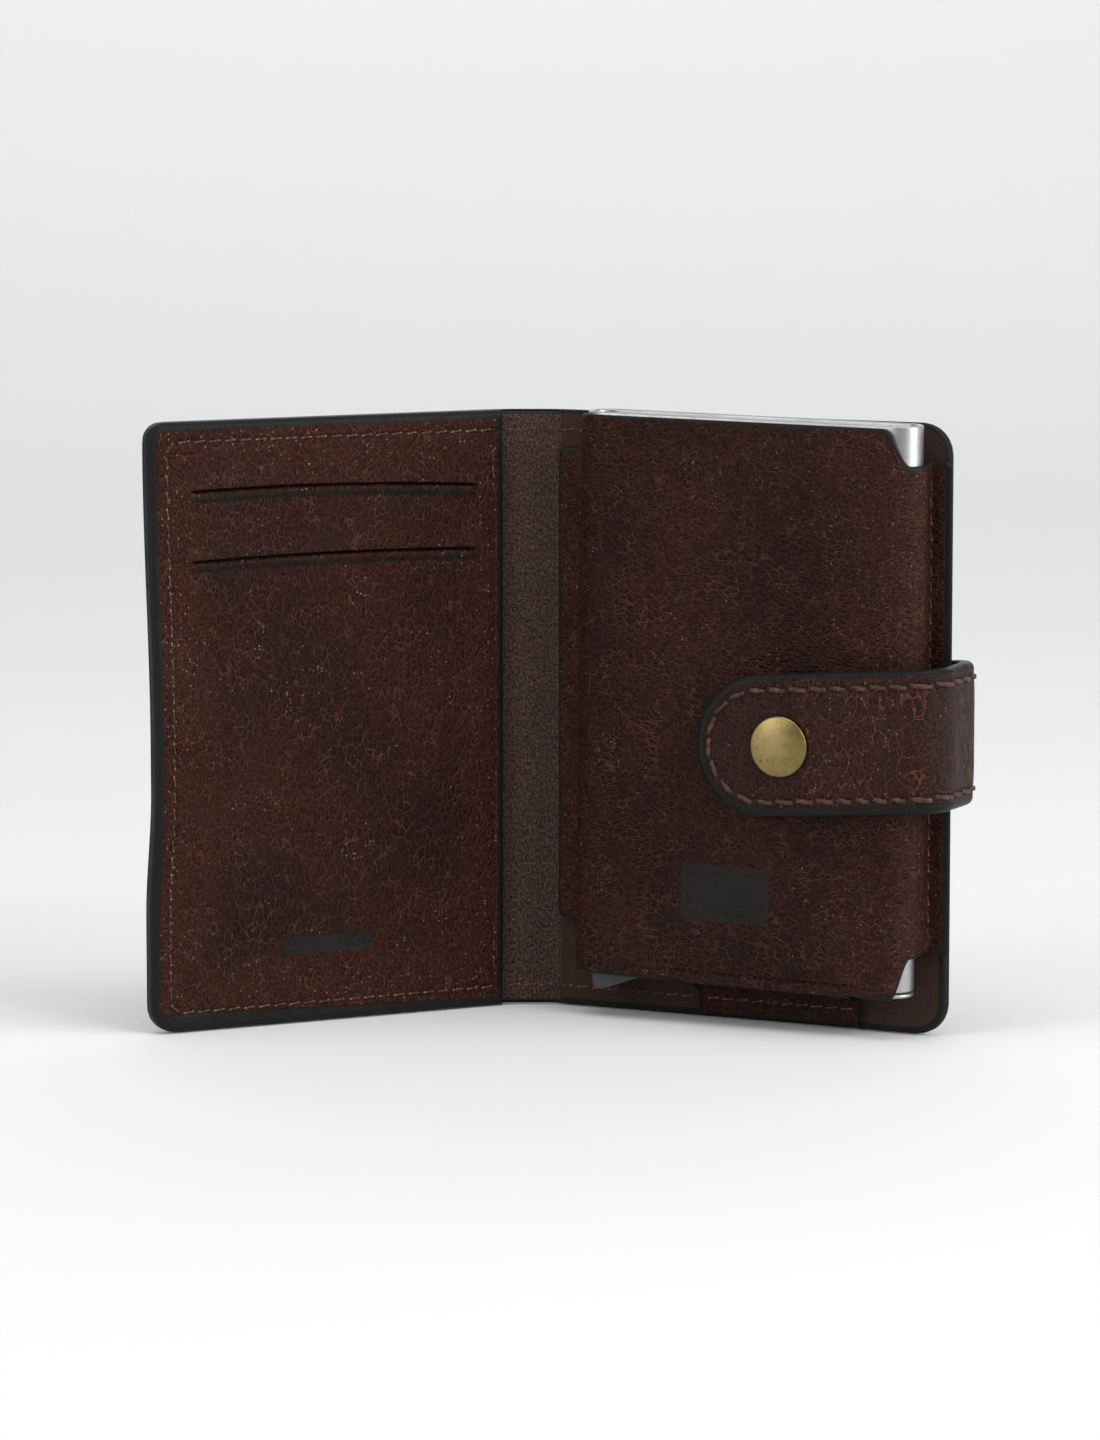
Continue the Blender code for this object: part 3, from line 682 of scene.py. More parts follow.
def leather(name, dark, warm, vein, run, crease=0.7, hair=0.6, spark=0.8, width=0.07, by_tone=0.0):
    """Aged leather: slow colour change, creases that run one way, pebbled grain and black edge paint.

    run is the creases' spacing in millimetres along s and z; crease is how strongly their colour
    shows, hair how strongly the finer set does, and spark how strongly the light dots on the pebbles
    show, which are painted glints. width is a crease's width as a share of their spacing, and
    by_tone is how far creases keep to the tone's area. The grain's hollows and the creases' flanks
    are darkened with painted shade.
    """
    shader = Shader(name)
    flat = shader.flat()
    wear_and_glint_tone = shader.layer("tone")
    slow = shader.noise(flat, 0.045, 4.0, 0.6)
    tone = shader.range(shader.plus(slow, shader.times(wear_and_glint_tone, 0.24)), 0.36, 0.68)
    base = shader.mix(tone, dark, warm)
    mottle = shader.range(shader.noise(flat, 0.42, 5.0, 0.72), 0.38, 0.68, 0.0, 0.45)
    base = shader.mix(mottle, base, tuple(0.4 * v for v in dark))
    grain = shader.noise(flat, 1.9, 4.0, 0.7)
    # Where the grain is low the colour darkens: painted shade in the hollows.
    base = shader.mix(shader.range(grain, 0.42, 0.58, 0.70, 0.0), base, HOLLOW_SHADE)
    base = shader.mix(shader.range(grain, 0.54, 0.68, 0.0, 0.35), base, tuple(1.6 * v for v in warm))

    flowing = shader.bent(shader.bent(flat, 9.0, 0.045), 0.55, 0.42)
    large = shader.scaled(flowing, (1.0 / run[0], 1.0 / run[1], 1.0))
    small = shader.scaled(shader.bent(flowing, 0.2, 1.3), (1.9 / run[0], 1.9 / run[1], 1.0))
    far = shader.cells(large, 1.0)
    near = shader.cells(small, 1.0)
    presence = shader.range(shader.noise(flat, 0.09, 3.0, 0.6), 0.38, 0.62, 0.1, 1.0)
    broken = shader.range(shader.noise(flat, 0.22, 4.0, 0.6), 0.36, 0.60, 0.25, 1.0)
    line = shader.times(shader.range(far, 0.0, width, 1.0, 0.0), broken)
    fine = shader.times(shader.range(near, 0.0, 0.09, hair, 0.0), presence)
    lines = shader.math("MAXIMUM", line, fine)
    reach = shader.range(shader.plus(wear_and_glint_tone, shader.times(slow, 0.5)), 0.4, 0.9,
                         1.0 - by_tone, 1.0)
    lines = shader.times(lines, reach)
    # Beside each crease the colour darkens: painted shade on its flanks.
    crease_shade = shader.times(shader.range(far, width, 3.5 * width, 0.45, 0.0), broken)
    colour = shader.mix(shader.times(crease_shade, reach), base, HOLLOW_SHADE)
    colour = shader.mix(shader.times(lines, crease), colour, vein)

    pebble = shader.node("ShaderNodeTexVoronoi", {"Vector": shader.bent(flat, 0.25, 2.2), "Scale": 1.35,
                                                  "Randomness": 0.95})
    dot = shader.range(pebble.outputs["Distance"], 0.15, 0.29, 1.0, 0.0)
    pick = shader.node("ShaderNodeSeparateColor", {"Color": pebble.outputs["Color"]}).outputs[0]
    # Light dots on some pebbles are painted glints; they gather where the noise and the sheet's tone are high.
    zone = shader.range(shader.noise(flat, 0.11, 3.0, 0.65), 0.44, 0.66)
    zone = shader.math("MAXIMUM", zone, shader.times(wear_and_glint_tone, 0.8))
    painted_glints = shader.times(shader.times(dot, shader.range(pick, 0.55, 0.92)), zone)
    colour = shader.mix(shader.times(painted_glints, spark), colour, GLINT)
    colour = shader.mix(shader.range(wear_and_glint_tone, -1.0, -0.4, 1.0, 0.0), colour, PRESSED)

    paint = shader.layer("paint")
    ragged = shader.range(shader.noise(flat, 0.8, 5.0, 0.6), 0.0, 1.0, -0.35, 0.35)
    mask = shader.range(shader.plus(paint, ragged), -0.2, 0.2)
    shader.set(Base_Color=shader.mix(mask, colour, PAINT))

    height = shader.range(far, 0.0, 0.34)
    height = shader.plus(height, shader.times(shader.range(near, 0.0, 0.3), 0.4))
    height = shader.times(height, presence)
    height = shader.plus(height, shader.times(dot, 0.35))
    height = shader.plus(height, shader.times(grain, 1.1))
    height = shader.times(height, shader.range(mask, 0.0, 1.0, 1.0, 0.15))
    wave = shader.bump(shader.noise(flat, 0.10, 3.0), 0.0009, 0.8)
    shader.set(Normal=shader.bump(height, 0.00026, 1.0, wave))
    gloss = shader.range(shader.noise(flat, 0.35, 5.0, 0.6), 0.3, 0.7, 0.34, 0.50)
    shader.set(Roughness=shader.node("ShaderNodeMix", {0: mask, 2: gloss, 3: 0.4}).outputs[0])
    shader.set(Specular_IOR_Level=0.09)
    return shader.material


def suede():
    """Short brushed nap: fine flecks that lie in patches, worn lighter here and there."""
    shader = Shader("suede")
    flat = shader.flat()
    nap = shader.bent(flat, 0.5, 1.2)
    fibre = shader.noise(shader.scaled(nap, (1.6, 1.0, 1.0)), 1.7, 6.0, 0.75)
    fleck = shader.noise(nap, 2.3, 4.0, 0.7)
    patch = shader.noise(flat, 0.16, 4.0, 0.65)
    colour = shader.mix(shader.range(fibre, 0.39, 0.61), (0.011, 0.0056, 0.0042), (0.098, 0.054, 0.042))
    light = shader.range(fleck, 0.54, 0.66)
    light = shader.times(light, shader.range(patch, 0.32, 0.62, 0.35, 1.0))
    colour = shader.mix(shader.times(light, 0.75), colour, (0.19, 0.125, 0.10))
    paint = shader.layer("paint")
    shader.set(Base_Color=shader.mix(shader.range(paint, -0.1, 0.1), colour, PAINT))
    shader.set(Roughness=0.93, Specular_IOR_Level=0.15, Sheen_Weight=0.08, Sheen_Roughness=0.5)
    height = shader.plus(fibre, shader.times(fleck, 0.6))
    shader.set(Normal=shader.bump(height, 0.00035, 1.0))
    return shader.material


def twill():
    """A lining cloth with a fine diagonal rib and a little fuzz. Its cut edge is painted black."""
    shader = Shader("twill")
    flat = shader.flat()
    along = shader.node("ShaderNodeVectorRotate", {"Vector": shader.bent(flat, 0.12, 0.9),
                                                   "Angle": math.radians(-31.0)},
                        rotation_type="Z_AXIS").outputs[0]
    rib = shader.node("ShaderNodeTexWave", {"Vector": along, "Scale": 0.84, "Distortion": 0.9,
                                            "Detail": 2.0, "Detail Scale": 2.5},
                      bands_direction="X").outputs["Fac"]
    yarn = shader.noise(shader.scaled(along, (1.0, 2.6, 1.0)), 2.4, 4.0, 0.75)
    fuzz = shader.noise(flat, 4.5, 4.0, 0.7)
    colour = shader.mix(rib, (0.016, 0.0082, 0.0060), (0.105, 0.052, 0.037))
    colour = shader.mix(shader.range(yarn, 0.36, 0.62, 0.0, 0.6), colour, (0.022, 0.0105, 0.0075))
    colour = shader.mix(shader.range(fuzz, 0.58, 0.72, 0.0, 0.7), colour, (0.17, 0.105, 0.08))
    paint = shader.layer("paint")
    shader.set(Base_Color=shader.mix(shader.range(paint, -0.15, 0.15), colour, PAINT))
    shader.set(Roughness=0.82, Specular_IOR_Level=0.2)
    height = shader.plus(rib, shader.times(yarn, 0.6))
    shader.set(Normal=shader.bump(height, 0.0002))
    return shader.material


def metal(name, colour, roughness, grain):
    """Metal with a fine blasted grain and slight wear."""
    shader = Shader(name)
    where = shader.local()
    fine = shader.noise(where, grain, 5.0, 0.7)
    slow = shader.noise(where, grain * 0.06, 4.0, 0.6)
    shade = shader.mix(shader.range(slow, 0.35, 0.65), tuple(0.82 * v for v in colour), colour)
    shader.set(Base_Color=shade, Metallic=1.0)
    shader.set(Roughness=shader.range(fine, 0.3, 0.7, roughness - 0.06, roughness + 0.08))
    shader.set(Normal=shader.bump(fine, 0.00003, 0.6))
    return shader.material


def antique_brass():
    """Brass with a brown patina, darker in patches, with fine dark specks."""
    shader = Shader("antique_brass")
    where = shader.local()
    slow = shader.noise(where, 230.0, 5.0, 0.65)
    speck = shader.range(shader.noise(where, 1700.0, 2.0), 0.66, 0.74)
    colour = shader.mix(shader.range(slow, 0.35, 0.65), (0.20, 0.145, 0.052), (0.285, 0.215, 0.092))
    colour = shader.mix(shader.times(speck, 0.7), colour, (0.05, 0.035, 0.016))
    shader.set(Base_Color=colour, Metallic=1.0)
    shader.set(Roughness=shader.range(slow, 0.3, 0.7, 0.30, 0.42))
    shader.set(Normal=shader.bump(shader.noise(where, 2600.0, 3.0), 0.000012, 0.6))
    return shader.material


def plastic(name, colour, roughness):
    """Matt moulded plastic."""
    shader = Shader(name)
    where = shader.local()
    fine = shader.noise(where, 2600.0, 3.0, 0.6)
    shade = shader.mix(shader.range(shader.noise(where, 220.0), 0.3, 0.7), tuple(0.8 * v for v in colour),
                       colour)
    shader.set(Base_Color=shade)
    shader.set(Roughness=shader.range(fine, 0.3, 0.7, roughness - 0.05, roughness + 0.08))
    shader.set(Normal=shader.bump(fine, 0.00002, 0.7))
    return shader.material


def thread(name, dark, light):
    """Waxed sewing thread, mottled dark and light along its length."""
    shader = Shader(name)
    where = shader.local()
    tone = shader.noise(where, 700.0, 3.0, 0.65)
    colour = shader.mix(shader.range(tone, 0.38, 0.62), dark, light)
    shader.set(Base_Color=colour, Roughness=0.5, Specular_IOR_Level=0.35)
    shader.set(Normal=shader.bump(tone, 0.00006))
    return shader.material


def felt():
    """Black felt with a little fuzz."""
    shader = Shader("felt")
    where = shader.local()
    fuzz = shader.noise(where, 1800.0, 4.0, 0.7)
    shader.set(Base_Color=shader.mix(fuzz, (0.008, 0.008, 0.008), (0.05, 0.05, 0.05)), Roughness=0.95)
    shader.set(Normal=shader.bump(fuzz, 0.0001))
    return shader.material


DARK = (0.0205, 0.0070, 0.0044)
WARM = (0.058, 0.0155, 0.0074)
VEIN = (0.100, 0.037, 0.024)

MATERIALS = {
    "outer": leather("leather_outer", DARK, (0.050, 0.0160, 0.0088), VEIN, (1.7, 2.0), 0.42, 0.3),
    "panel": leather("leather_panel", DARK, WARM, VEIN, (1.05, 2.3), 0.62, 0.25, 0.75, 0.085),
    "wrap": leather("leather_wrap", DARK, (0.050, 0.0160, 0.0086), VEIN, (1.9, 0.92), 0.65, 0.3, 0.5,
                    0.09),
    # The strap's dark colour is a greyish brown: partly its own colour and partly painted sheen.
    "strap": leather("leather_strap", (0.040, 0.0205, 0.0165), (0.044, 0.0175, 0.0125),
                     (0.150, 0.048, 0.026), (2.3, 4.6), 0.8, 0.35, 0.6, 0.045, 0.9),
    "suede": suede(),
    "twill": twill(),
    "case": metal("case_metal", (0.43, 0.43, 0.43), 0.40, 2400.0),
    "steel": metal("pin_steel", (0.4, 0.39, 0.38), 0.35, 1800.0),
    "brass": antique_brass(),
    "plastic": plastic("lever_plastic", (0.030, 0.031, 0.034), 0.45),
    # The needle holes' near-black colour is painted shade in the holes.
    "hole": plastic("needle_hole_shade", (0.003, 0.0025, 0.0022), 0.9),
    "thread": thread("thread", (0.026, 0.0095, 0.0058), (0.085, 0.031, 0.019)),
    # The lighter thread for the stitches' ends is a painted highlight at the knots.
    "thread_highlit": thread("thread_highlit", (0.075, 0.030, 0.018), (0.21, 0.10, 0.066)),
    "felt": felt(),
}


# ---------------------------------------------------------------- sewing

def stitches(name, route, level, place, pitch=PITCH, length=2.3, width=0.36, slant=0.10, hole=0.3,
             lit_ends=True):
    """A row of twisted thread stitches with their needle holes, as one object.

    route is a list of (s, z) corners, and level is the leather's depth along it. The stitches' ends
    can take a lighter thread, a painted highlight at the knots, and the needle holes are dark discs,
    which are painted shade in the holes.
    """
    route = np.asarray(route, float)
    legs = np.hypot(*(route[1:] - route[:-1]).T)
    lengths = np.concatenate(([0.0], np.cumsum(legs)))
    count = max(1, int(round(lengths[-1] / pitch)))
    pitch = lengths[-1] / count
    sides = 10
    spans = np.linspace(-1.0, 1.0, 13)
    points = []
    faces = []
    kinds = []

    def at(along):
        return np.array([np.interp(along, lengths, route[:, i]) for i in (0, 1)])

    for k in range(count):
        middle = at((k + 0.5) * pitch)
        heading = at((k + 0.5) * pitch + 0.4) - at((k + 0.5) * pitch - 0.4)
        heading = math.atan2(heading[1], heading[0]) + slant + 0.05 * math.sin(12.9 * k)
        along = np.array((math.cos(heading), math.sin(heading)))
        across = np.array((-along[1], along[0]))
        base = len(points)
        reach = 0.5 * length * (1.0 + 0.05 * math.sin(7.3 * k))
        for t in spans:
            thick = 0.5 * width * (1.0 - 0.3 * t ** 4)
            rise = width * (0.12 - 0.6 * t ** 6)
            for i in range(sides):
                turn = 2.0 * math.pi * i / sides
                ply = 1.0 + 0.16 * math.cos(2.0 * turn - 7.0 * t * reach / max(width, 0.1) * 0.5)
                where = middle + along * reach * t + across * thick * ply * math.cos(turn)
                depth = level + rise + thick * ply * math.sin(turn)
                points.append((where[0], depth, where[1]))
        for ring in range(len(spans) - 1):
            for i in range(sides):
                j = (i + 1) % sides
                one = base + ring * sides
                faces.append((one + i, one + j, one + sides + j, one + sides + i))
                # Kind 2 is the lighter thread near each end: a painted highlight.
                kinds.append(2 if lit_ends and ring in (1, 2, len(spans) - 4, len(spans) - 3) else 0)
        last = base + (len(spans) - 1) * sides
        faces.append(tuple(base + i for i in range(sides - 1, -1, -1)))
        faces.append(tuple(last + i for i in range(sides)))
        kinds += [0, 0]
    for k in range(count + 1):
        mark = at(k * pitch)
        base = len(points)
        # Each needle hole is a dark disc: painted shade in the hole.
        for radius, depth in ((hole, 0.03), (0.5 * hole, 0.02), (hole, -0.25)):
            for i in range(sides):
                turn = 2.0 * math.pi * i / sides
                where = mark + radius * np.array((math.cos(turn), math.sin(turn)))
                points.append((where[0], level + depth, where[1]))
        for i in range(sides):
            j = (i + 1) % sides
            faces.append((base + i, base + j, base + sides + j, base + sides + i))
            faces.append((base + 2 * sides + i, base + 2 * sides + j, base + j, base + i))
            kinds += [1, 1]
        faces.append(tuple(base + sides + i for i in range(sides)))
        faces.append(tuple(base + 2 * sides + i for i in range(sides - 1, -1, -1)))
        kinds += [1, 1]
    points = np.array(points)
    obj = make_object(name, place(points[:, 0], points[:, 1], points[:, 2]), faces, MATERIALS["thread"])
    obj.data.materials.append(MATERIALS["hole"])
    obj.data.materials.append(MATERIALS["thread_highlit"])
    obj.data.polygons.foreach_set("material_index", kinds)
    obj.data.update()
    return obj


def rounded_route(points, radius):
    """A route through corner points with its inner corners rounded."""
    points = [np.asarray(p, float) for p in points]
    route = [points[0]]
    for before, corner, after in zip(points, points[1:], points[2:]):
        one = (before - corner) / np.hypot(*(before - corner))
        two = (after - corner) / np.hypot(*(after - corner))
        for t in np.linspace(0.0, 1.0, 9):
            route.append((1 - t) ** 2 * (corner + one * radius) + 2 * t * (1 - t) * corner
                         + t ** 2 * (corner + two * radius))
    route.append(points[-1])
    return route


# ---------------------------------------------------------------- outer leather and linings

def spot(s, n, z):
    """One point of the open wallet, as a plain tuple."""
    return tuple(float(v) for v in on_wallet(np.array(s), np.array(n), np.array(z)))


def fold_ends(fold):
    """The points where bending about a fold line starts and ends."""
    return spot(fold - FOLD_EASE, 0.0, 0.5 * HEIGHT), spot(fold + FOLD_EASE, 0.0, 0.5 * HEIGHT)


def leaf_grid(left, right, side, radius=CORNER, extra_s=()):
    """A leaf's grid, with round corners and finer lines on its free side."""
    fine_left = EDGE_LINES if side == "left" else ()
    fine_right = EDGE_LINES if side == "right" else ()
    lines_s = spaced(left, right, 1.4, fine_left, fine_right, extra_s)
    lines_z = spaced(0.0, HEIGHT, 1.4, EDGE_LINES, EDGE_LINES)
    s, z = np.meshgrid(lines_s, lines_z)
    return round_corners(s, z, left, right, 0.0, HEIGHT, radius, (side,))


def outer_leather():
    """The outside of the wallet, in two pieces that meet in the middle of the spine."""
    fold_lines = tuple(np.arange(-SPINE_WIDTH - 4.0, 4.01, 0.4))
    s, z, edge = leaf_grid(COVER_EDGE, SPINE_MIDDLE, "left", COVER_CORNERS, fold_lines)
    left = sheet("outer_leather_left", s, z, edge, OUTER_FRONT, OUTER_BACK, 0.06, 0.95, on_wallet,
                 MATERIALS["outer"], 1.25 - edge)
    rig.replaces(left, "outer_cover_left", "stiffener_left", "spine_cover")
    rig.slot(left, "outer_leather")
    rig.blend(left, "cover_leaf", "spine", *fold_ends(-SPINE_WIDTH))
    s, z, edge = leaf_grid(SPINE_MIDDLE, CASE_LEAF_WIDTH, "right", CORNER, fold_lines)
    right = sheet("outer_leather_right", s, z, edge, OUTER_FRONT, OUTER_BACK, 0.06, 0.95, on_wallet,
                  MATERIALS["outer"], 1.25 - edge)
    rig.replaces(right, "outer_cover_right", "stiffener_right", "spine_cover")
    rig.slot(right, "outer_leather")
    start, end = fold_ends(0.0)
    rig.blend(right, "case_leaf", "spine", end, start)


def spine_strip():
    """The suede strip between the leaves. Its cut edges lie under the panel and the wrap."""
    lines_s = spaced(-SPINE_WIDTH - 1.2, 0.9, 0.45)
    lines_z = spaced(0.5, HEIGHT - 0.4, 1.2, EDGE_LINES, EDGE_LINES)
    s, z = np.meshgrid(lines_s, lines_z)
    edge = np.minimum(z - lines_z[0], lines_z[-1] - z)
    seam = ridge(z, SEAM_INSET, 0.9) + ridge(z, HEIGHT - SEAM_INSET, 0.9)
    front = -0.08 - 0.22 * seam
    half = []
    for name, part in (("spine_suede_left", lines_s <= SPINE_MIDDLE + 0.3),
                       ("spine_suede_right", lines_s >= SPINE_MIDDLE - 0.3)):
        piece = sheet(name, s[:, part], z[:, part], edge[:, part], front[:, part], OUTER_FRONT, 0.5, 0.02,
                      on_wallet, MATERIALS["suede"], 0.35 - edge[:, part])
        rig.replaces(piece, "spine_lining")
        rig.slot(piece, "suede")
        half.append(piece)
    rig.blend(half[0], "cover_leaf", "spine", *fold_ends(-SPINE_WIDTH))
    start, end = fold_ends(0.0)
    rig.blend(half[1], "case_leaf", "spine", end, start)


def case_lining():
    """The twill lining that shows round the card case."""
    s, z, edge = leaf_grid(0.35, CASE_LEAF_WIDTH, "right")
    seam = ridge(edge, SEAM_INSET, 0.8)
    front = LINING_FRONT - 0.15 * seam
    paint = np.where(z < 0.5 * HEIGHT, 1.2, 0.6) - edge
    piece = sheet("case_leaf_lining", s, z, edge, front, OUTER_FRONT, 0.55, 0.02, on_case,
                  MATERIALS["twill"], paint)
    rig.replaces(piece, "lining_right")
    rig.slot(piece, "twill")
    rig.ride(piece, "case_leaf")


# ---------------------------------------------------------------- cover leaf

SLITS = ((93.0, 92.2, 0.7), (81.0, 81.1, 0.5))
SLIT_ENDS = (-59.6 - SPINE_WIDTH, -5.4 - SPINE_WIDTH)


def slit_height(s, slit):
    """A pocket mouth's height: a line from end to end, bowed up a little."""
    left, right, bow = slit
    t = np.clip((np.asarray(s, float) - SLIT_ENDS[0]) / (SLIT_ENDS[1] - SLIT_ENDS[0]), 0.0, 1.0)
    return left + (right - left) * t + bow * 4.0 * t * (1.0 - t)


def pressed_area(s, z, middle, half, corner):
    """1 inside a rectangle with round corners, falling to 0 over its pressed edge."""
    across = np.abs(s - middle[0]) - half[0] + corner
    up = np.abs(z - middle[1]) - half[1] + corner
    outside = np.hypot(np.maximum(across, 0.0), np.maximum(up, 0.0))
    outside = outside + np.minimum(np.maximum(across, up), 0.0)
    return ramp(corner - outside, -0.1, 0.35)


def panel_depth(s, z, edge):
    """The front of the pocket panel: seam groove, pocket mouths with pressed lips, blank stamp."""
    depth = PANEL_FRONT - 0.16 * ridge(edge, SEAM_INSET, 0.7) + 0.0 * s
    depth = depth - 0.16 * ridge(s, PANEL_RIGHT_SEAM, 0.7)
    for slit in SLITS:
        below = slit_height(s, slit) - z
        inside = ramp(s, SLIT_ENDS[0], SLIT_ENDS[0] + 0.8)
        inside = inside * (1.0 - ramp(s, SLIT_ENDS[1] - 0.8, SLIT_ENDS[1]))
        mouth = ridge(below, 0.0, 0.32)
        lip = ramp(below, 0.3, 0.62) * (1.0 - ramp(below, 1.0, 1.9))
        fold = ridge(below, 2.0, 0.45)
        overlap = ramp(below, -3.0, -0.3) * (1.0 - ramp(below, -0.3, 0.0))
        depth = depth + inside * (0.22 * overlap - 0.95 * mouth + 0.30 * lip - 0.12 * fold)
    depth = depth - 0.26 * pressed_area(s, z, STAMP_AT, STAMP_HALF, 0.9)
    belly = ramp(edge, 4.0, 22.0)
    return depth + 0.35 * belly


def panel_grid(right):
    """The panel's grid, with finer lines at its edges, seams, slits and stamp."""
    near_seam = (-0.7, -0.35, 0.0, 0.35, 0.7)
    seam = [SEAM_INSET + d for d in near_seam]
    extra_s = []
    for side in (-1.0, 1.0):
        extra_s += [STAMP_AT[0] + side * (STAMP_HALF[0] + d) for d in (-0.4, -0.2, 0.0, 0.2)]
    extra_s += [COVER_EDGE + d for d in seam] + [PANEL_RIGHT_SEAM + d for d in near_seam]
    extra_s += [end + d for end in SLIT_ENDS for d in (-0.6, -0.3, 0.0, 0.3, 0.6)]
    extra_z = [11.6, 11.8, 12.0, 12.2, 15.0, 15.2, 15.4, 15.6] + seam + [HEIGHT - d for d in seam]
    for *ends, bow in SLITS:
        extra_z += list(np.arange(min(ends) - 2.8, max(ends) + bow + 1.0, 0.15))
    lines_s = spaced(COVER_EDGE, right, 1.3, EDGE_LINES, EDGE_LINES, extra_s)
    lines_z = spaced(0.0, HEIGHT, 1.3, EDGE_LINES, EDGE_LINES, extra_z)
    s, z = np.meshgrid(lines_s, lines_z)
    return round_corners(s, z, COVER_EDGE, right, 0.0, HEIGHT, COVER_CORNERS, ("left",))


def panel_paint(s, z, edge, right):
    """Where black paint covers the panel: its edge paint, wider at the foot, and at each slit the mouth, painted shade
    in the gap over the cut edge's real paint, with a faint darkening over the pressed lip.
    """
    toward_spine = ramp(s, COVER_EDGE, right)
    band_bottom = 3.1 - 1.5 * toward_spine
    band_top = 1.5 - 1.0 * toward_spine
    paint = np.maximum(band_bottom - z, band_top - (HEIGHT - z))
    paint = np.maximum(paint, 1.45 - (s - COVER_EDGE))
    paint = np.maximum(paint, np.where(edge < 5.5, 1.45 - edge, -9.0))
    paint = np.maximum(paint, 1.15 - (right - s))
    for slit in SLITS:
        below = slit_height(s, slit) - z
        inside = (s > SLIT_ENDS[0]) & (s < SLIT_ENDS[1])
        # The slit's mouth is painted black: painted shade in the gap, over the real black paint of its cut edge.
        paint = np.where(inside & (np.abs(below) < 0.27), 0.5, paint)
        paint = np.where(inside & (below >= 0.75) & (below < 2.1), 0.03, paint)
    return paint


def cover_panel():
    """The pocket panel with its two slits and a blank stamp."""
    right = -SPINE_WIDTH - 0.15
    s, z, outer_edge = panel_grid(right)
    edge = np.minimum(outer_edge, right - s)
    depth = panel_depth(s, z, outer_edge)
    paint = panel_paint(s, z, outer_edge, right)
    # The tone is high near the edges and the spine, where the leather is rubbed warmer and the painted glints gather,
    # and a little raised above the upper slit mainly so that painted glints gather there too.
    tone = 1.0 - ramp(outer_edge, 3.0, 15.0)
    tone = np.maximum(tone, 0.9 * (1.0 - ramp(right - s, 3.0, 12.0)))
    tone = np.maximum(tone, 0.35 * ramp(z, 91.0, 95.0))
    tone = np.where(pressed_area(s, z, STAMP_AT, STAMP_HALF, 0.9) > 0.4, -1.0, tone)
    piece = sheet("pocket_panel_leather", s, z, edge, depth, OUTER_FRONT, 1.15, 0.03, on_wallet,
                  MATERIALS["panel"], paint, tone)
    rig.replaces(piece, "pocket_panel", "lining_left", "upper_pocket", "lower_pocket", "snap_post")
    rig.slot(piece, "panel_leather")
    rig.ride(piece, "cover_leaf")


# ---------------------------------------------------------------- wrap

def quarter_round(t):
    """0 at 0 and 1 at 1 along a quarter circle that starts steeply."""
    return np.sqrt(np.clip(1.0 - (1.0 - np.clip(t, 0.0, 1.0)) ** 2, 0.0, 1.0))


def wrap_reach(p, right_lead, right_end):
    """1 on the wrap's face and 0 on its wings: a round corner at the left, an S-curve at the right."""
    left = quarter_round((p - FACE_START + 7.2) / 3.6)
    return left * (1.0 - ramp(p, FACE_END - right_lead, FACE_END + right_end))


def wrap_high(p):
    """The wrap's upper edge along its section."""
    high = WING_TOP + (WRAP_TOP - WING_TOP) * wrap_reach(p, 1.0, 3.8)
    return high - 1.3 * (1.0 - quarter_round(p / 1.3)) - 0.8 * ramp(p, WRAP.length - 1.2, WRAP.length)


def wrap_low_edge(p):
    """The wrap's lower edge without its bottom wing."""
    slanted = 1.6 * (1.0 - ramp(p, 0.0, 5.5))
    return WING_BOTTOM + slanted + (WRAP_BOTTOM - WING_BOTTOM) * wrap_reach(p, -1.8, 5.2)


def wrap_low(p):
    """The wrap's lower edge, down the bottom wing where there is one."""
    face_s = FACE_LEFT + p - FACE_START
    wing = ramp(face_s, BOTTOM_WING[0] - 1.2, BOTTOM_WING[0] + 0.4)
    wing = wing * (1.0 - ramp(face_s, BOTTOM_WING[1] - 0.4, BOTTOM_WING[1] + 1.2))
    return wrap_low_edge(p) + (WING_START - WING.length - WRAP_BOTTOM) * wing


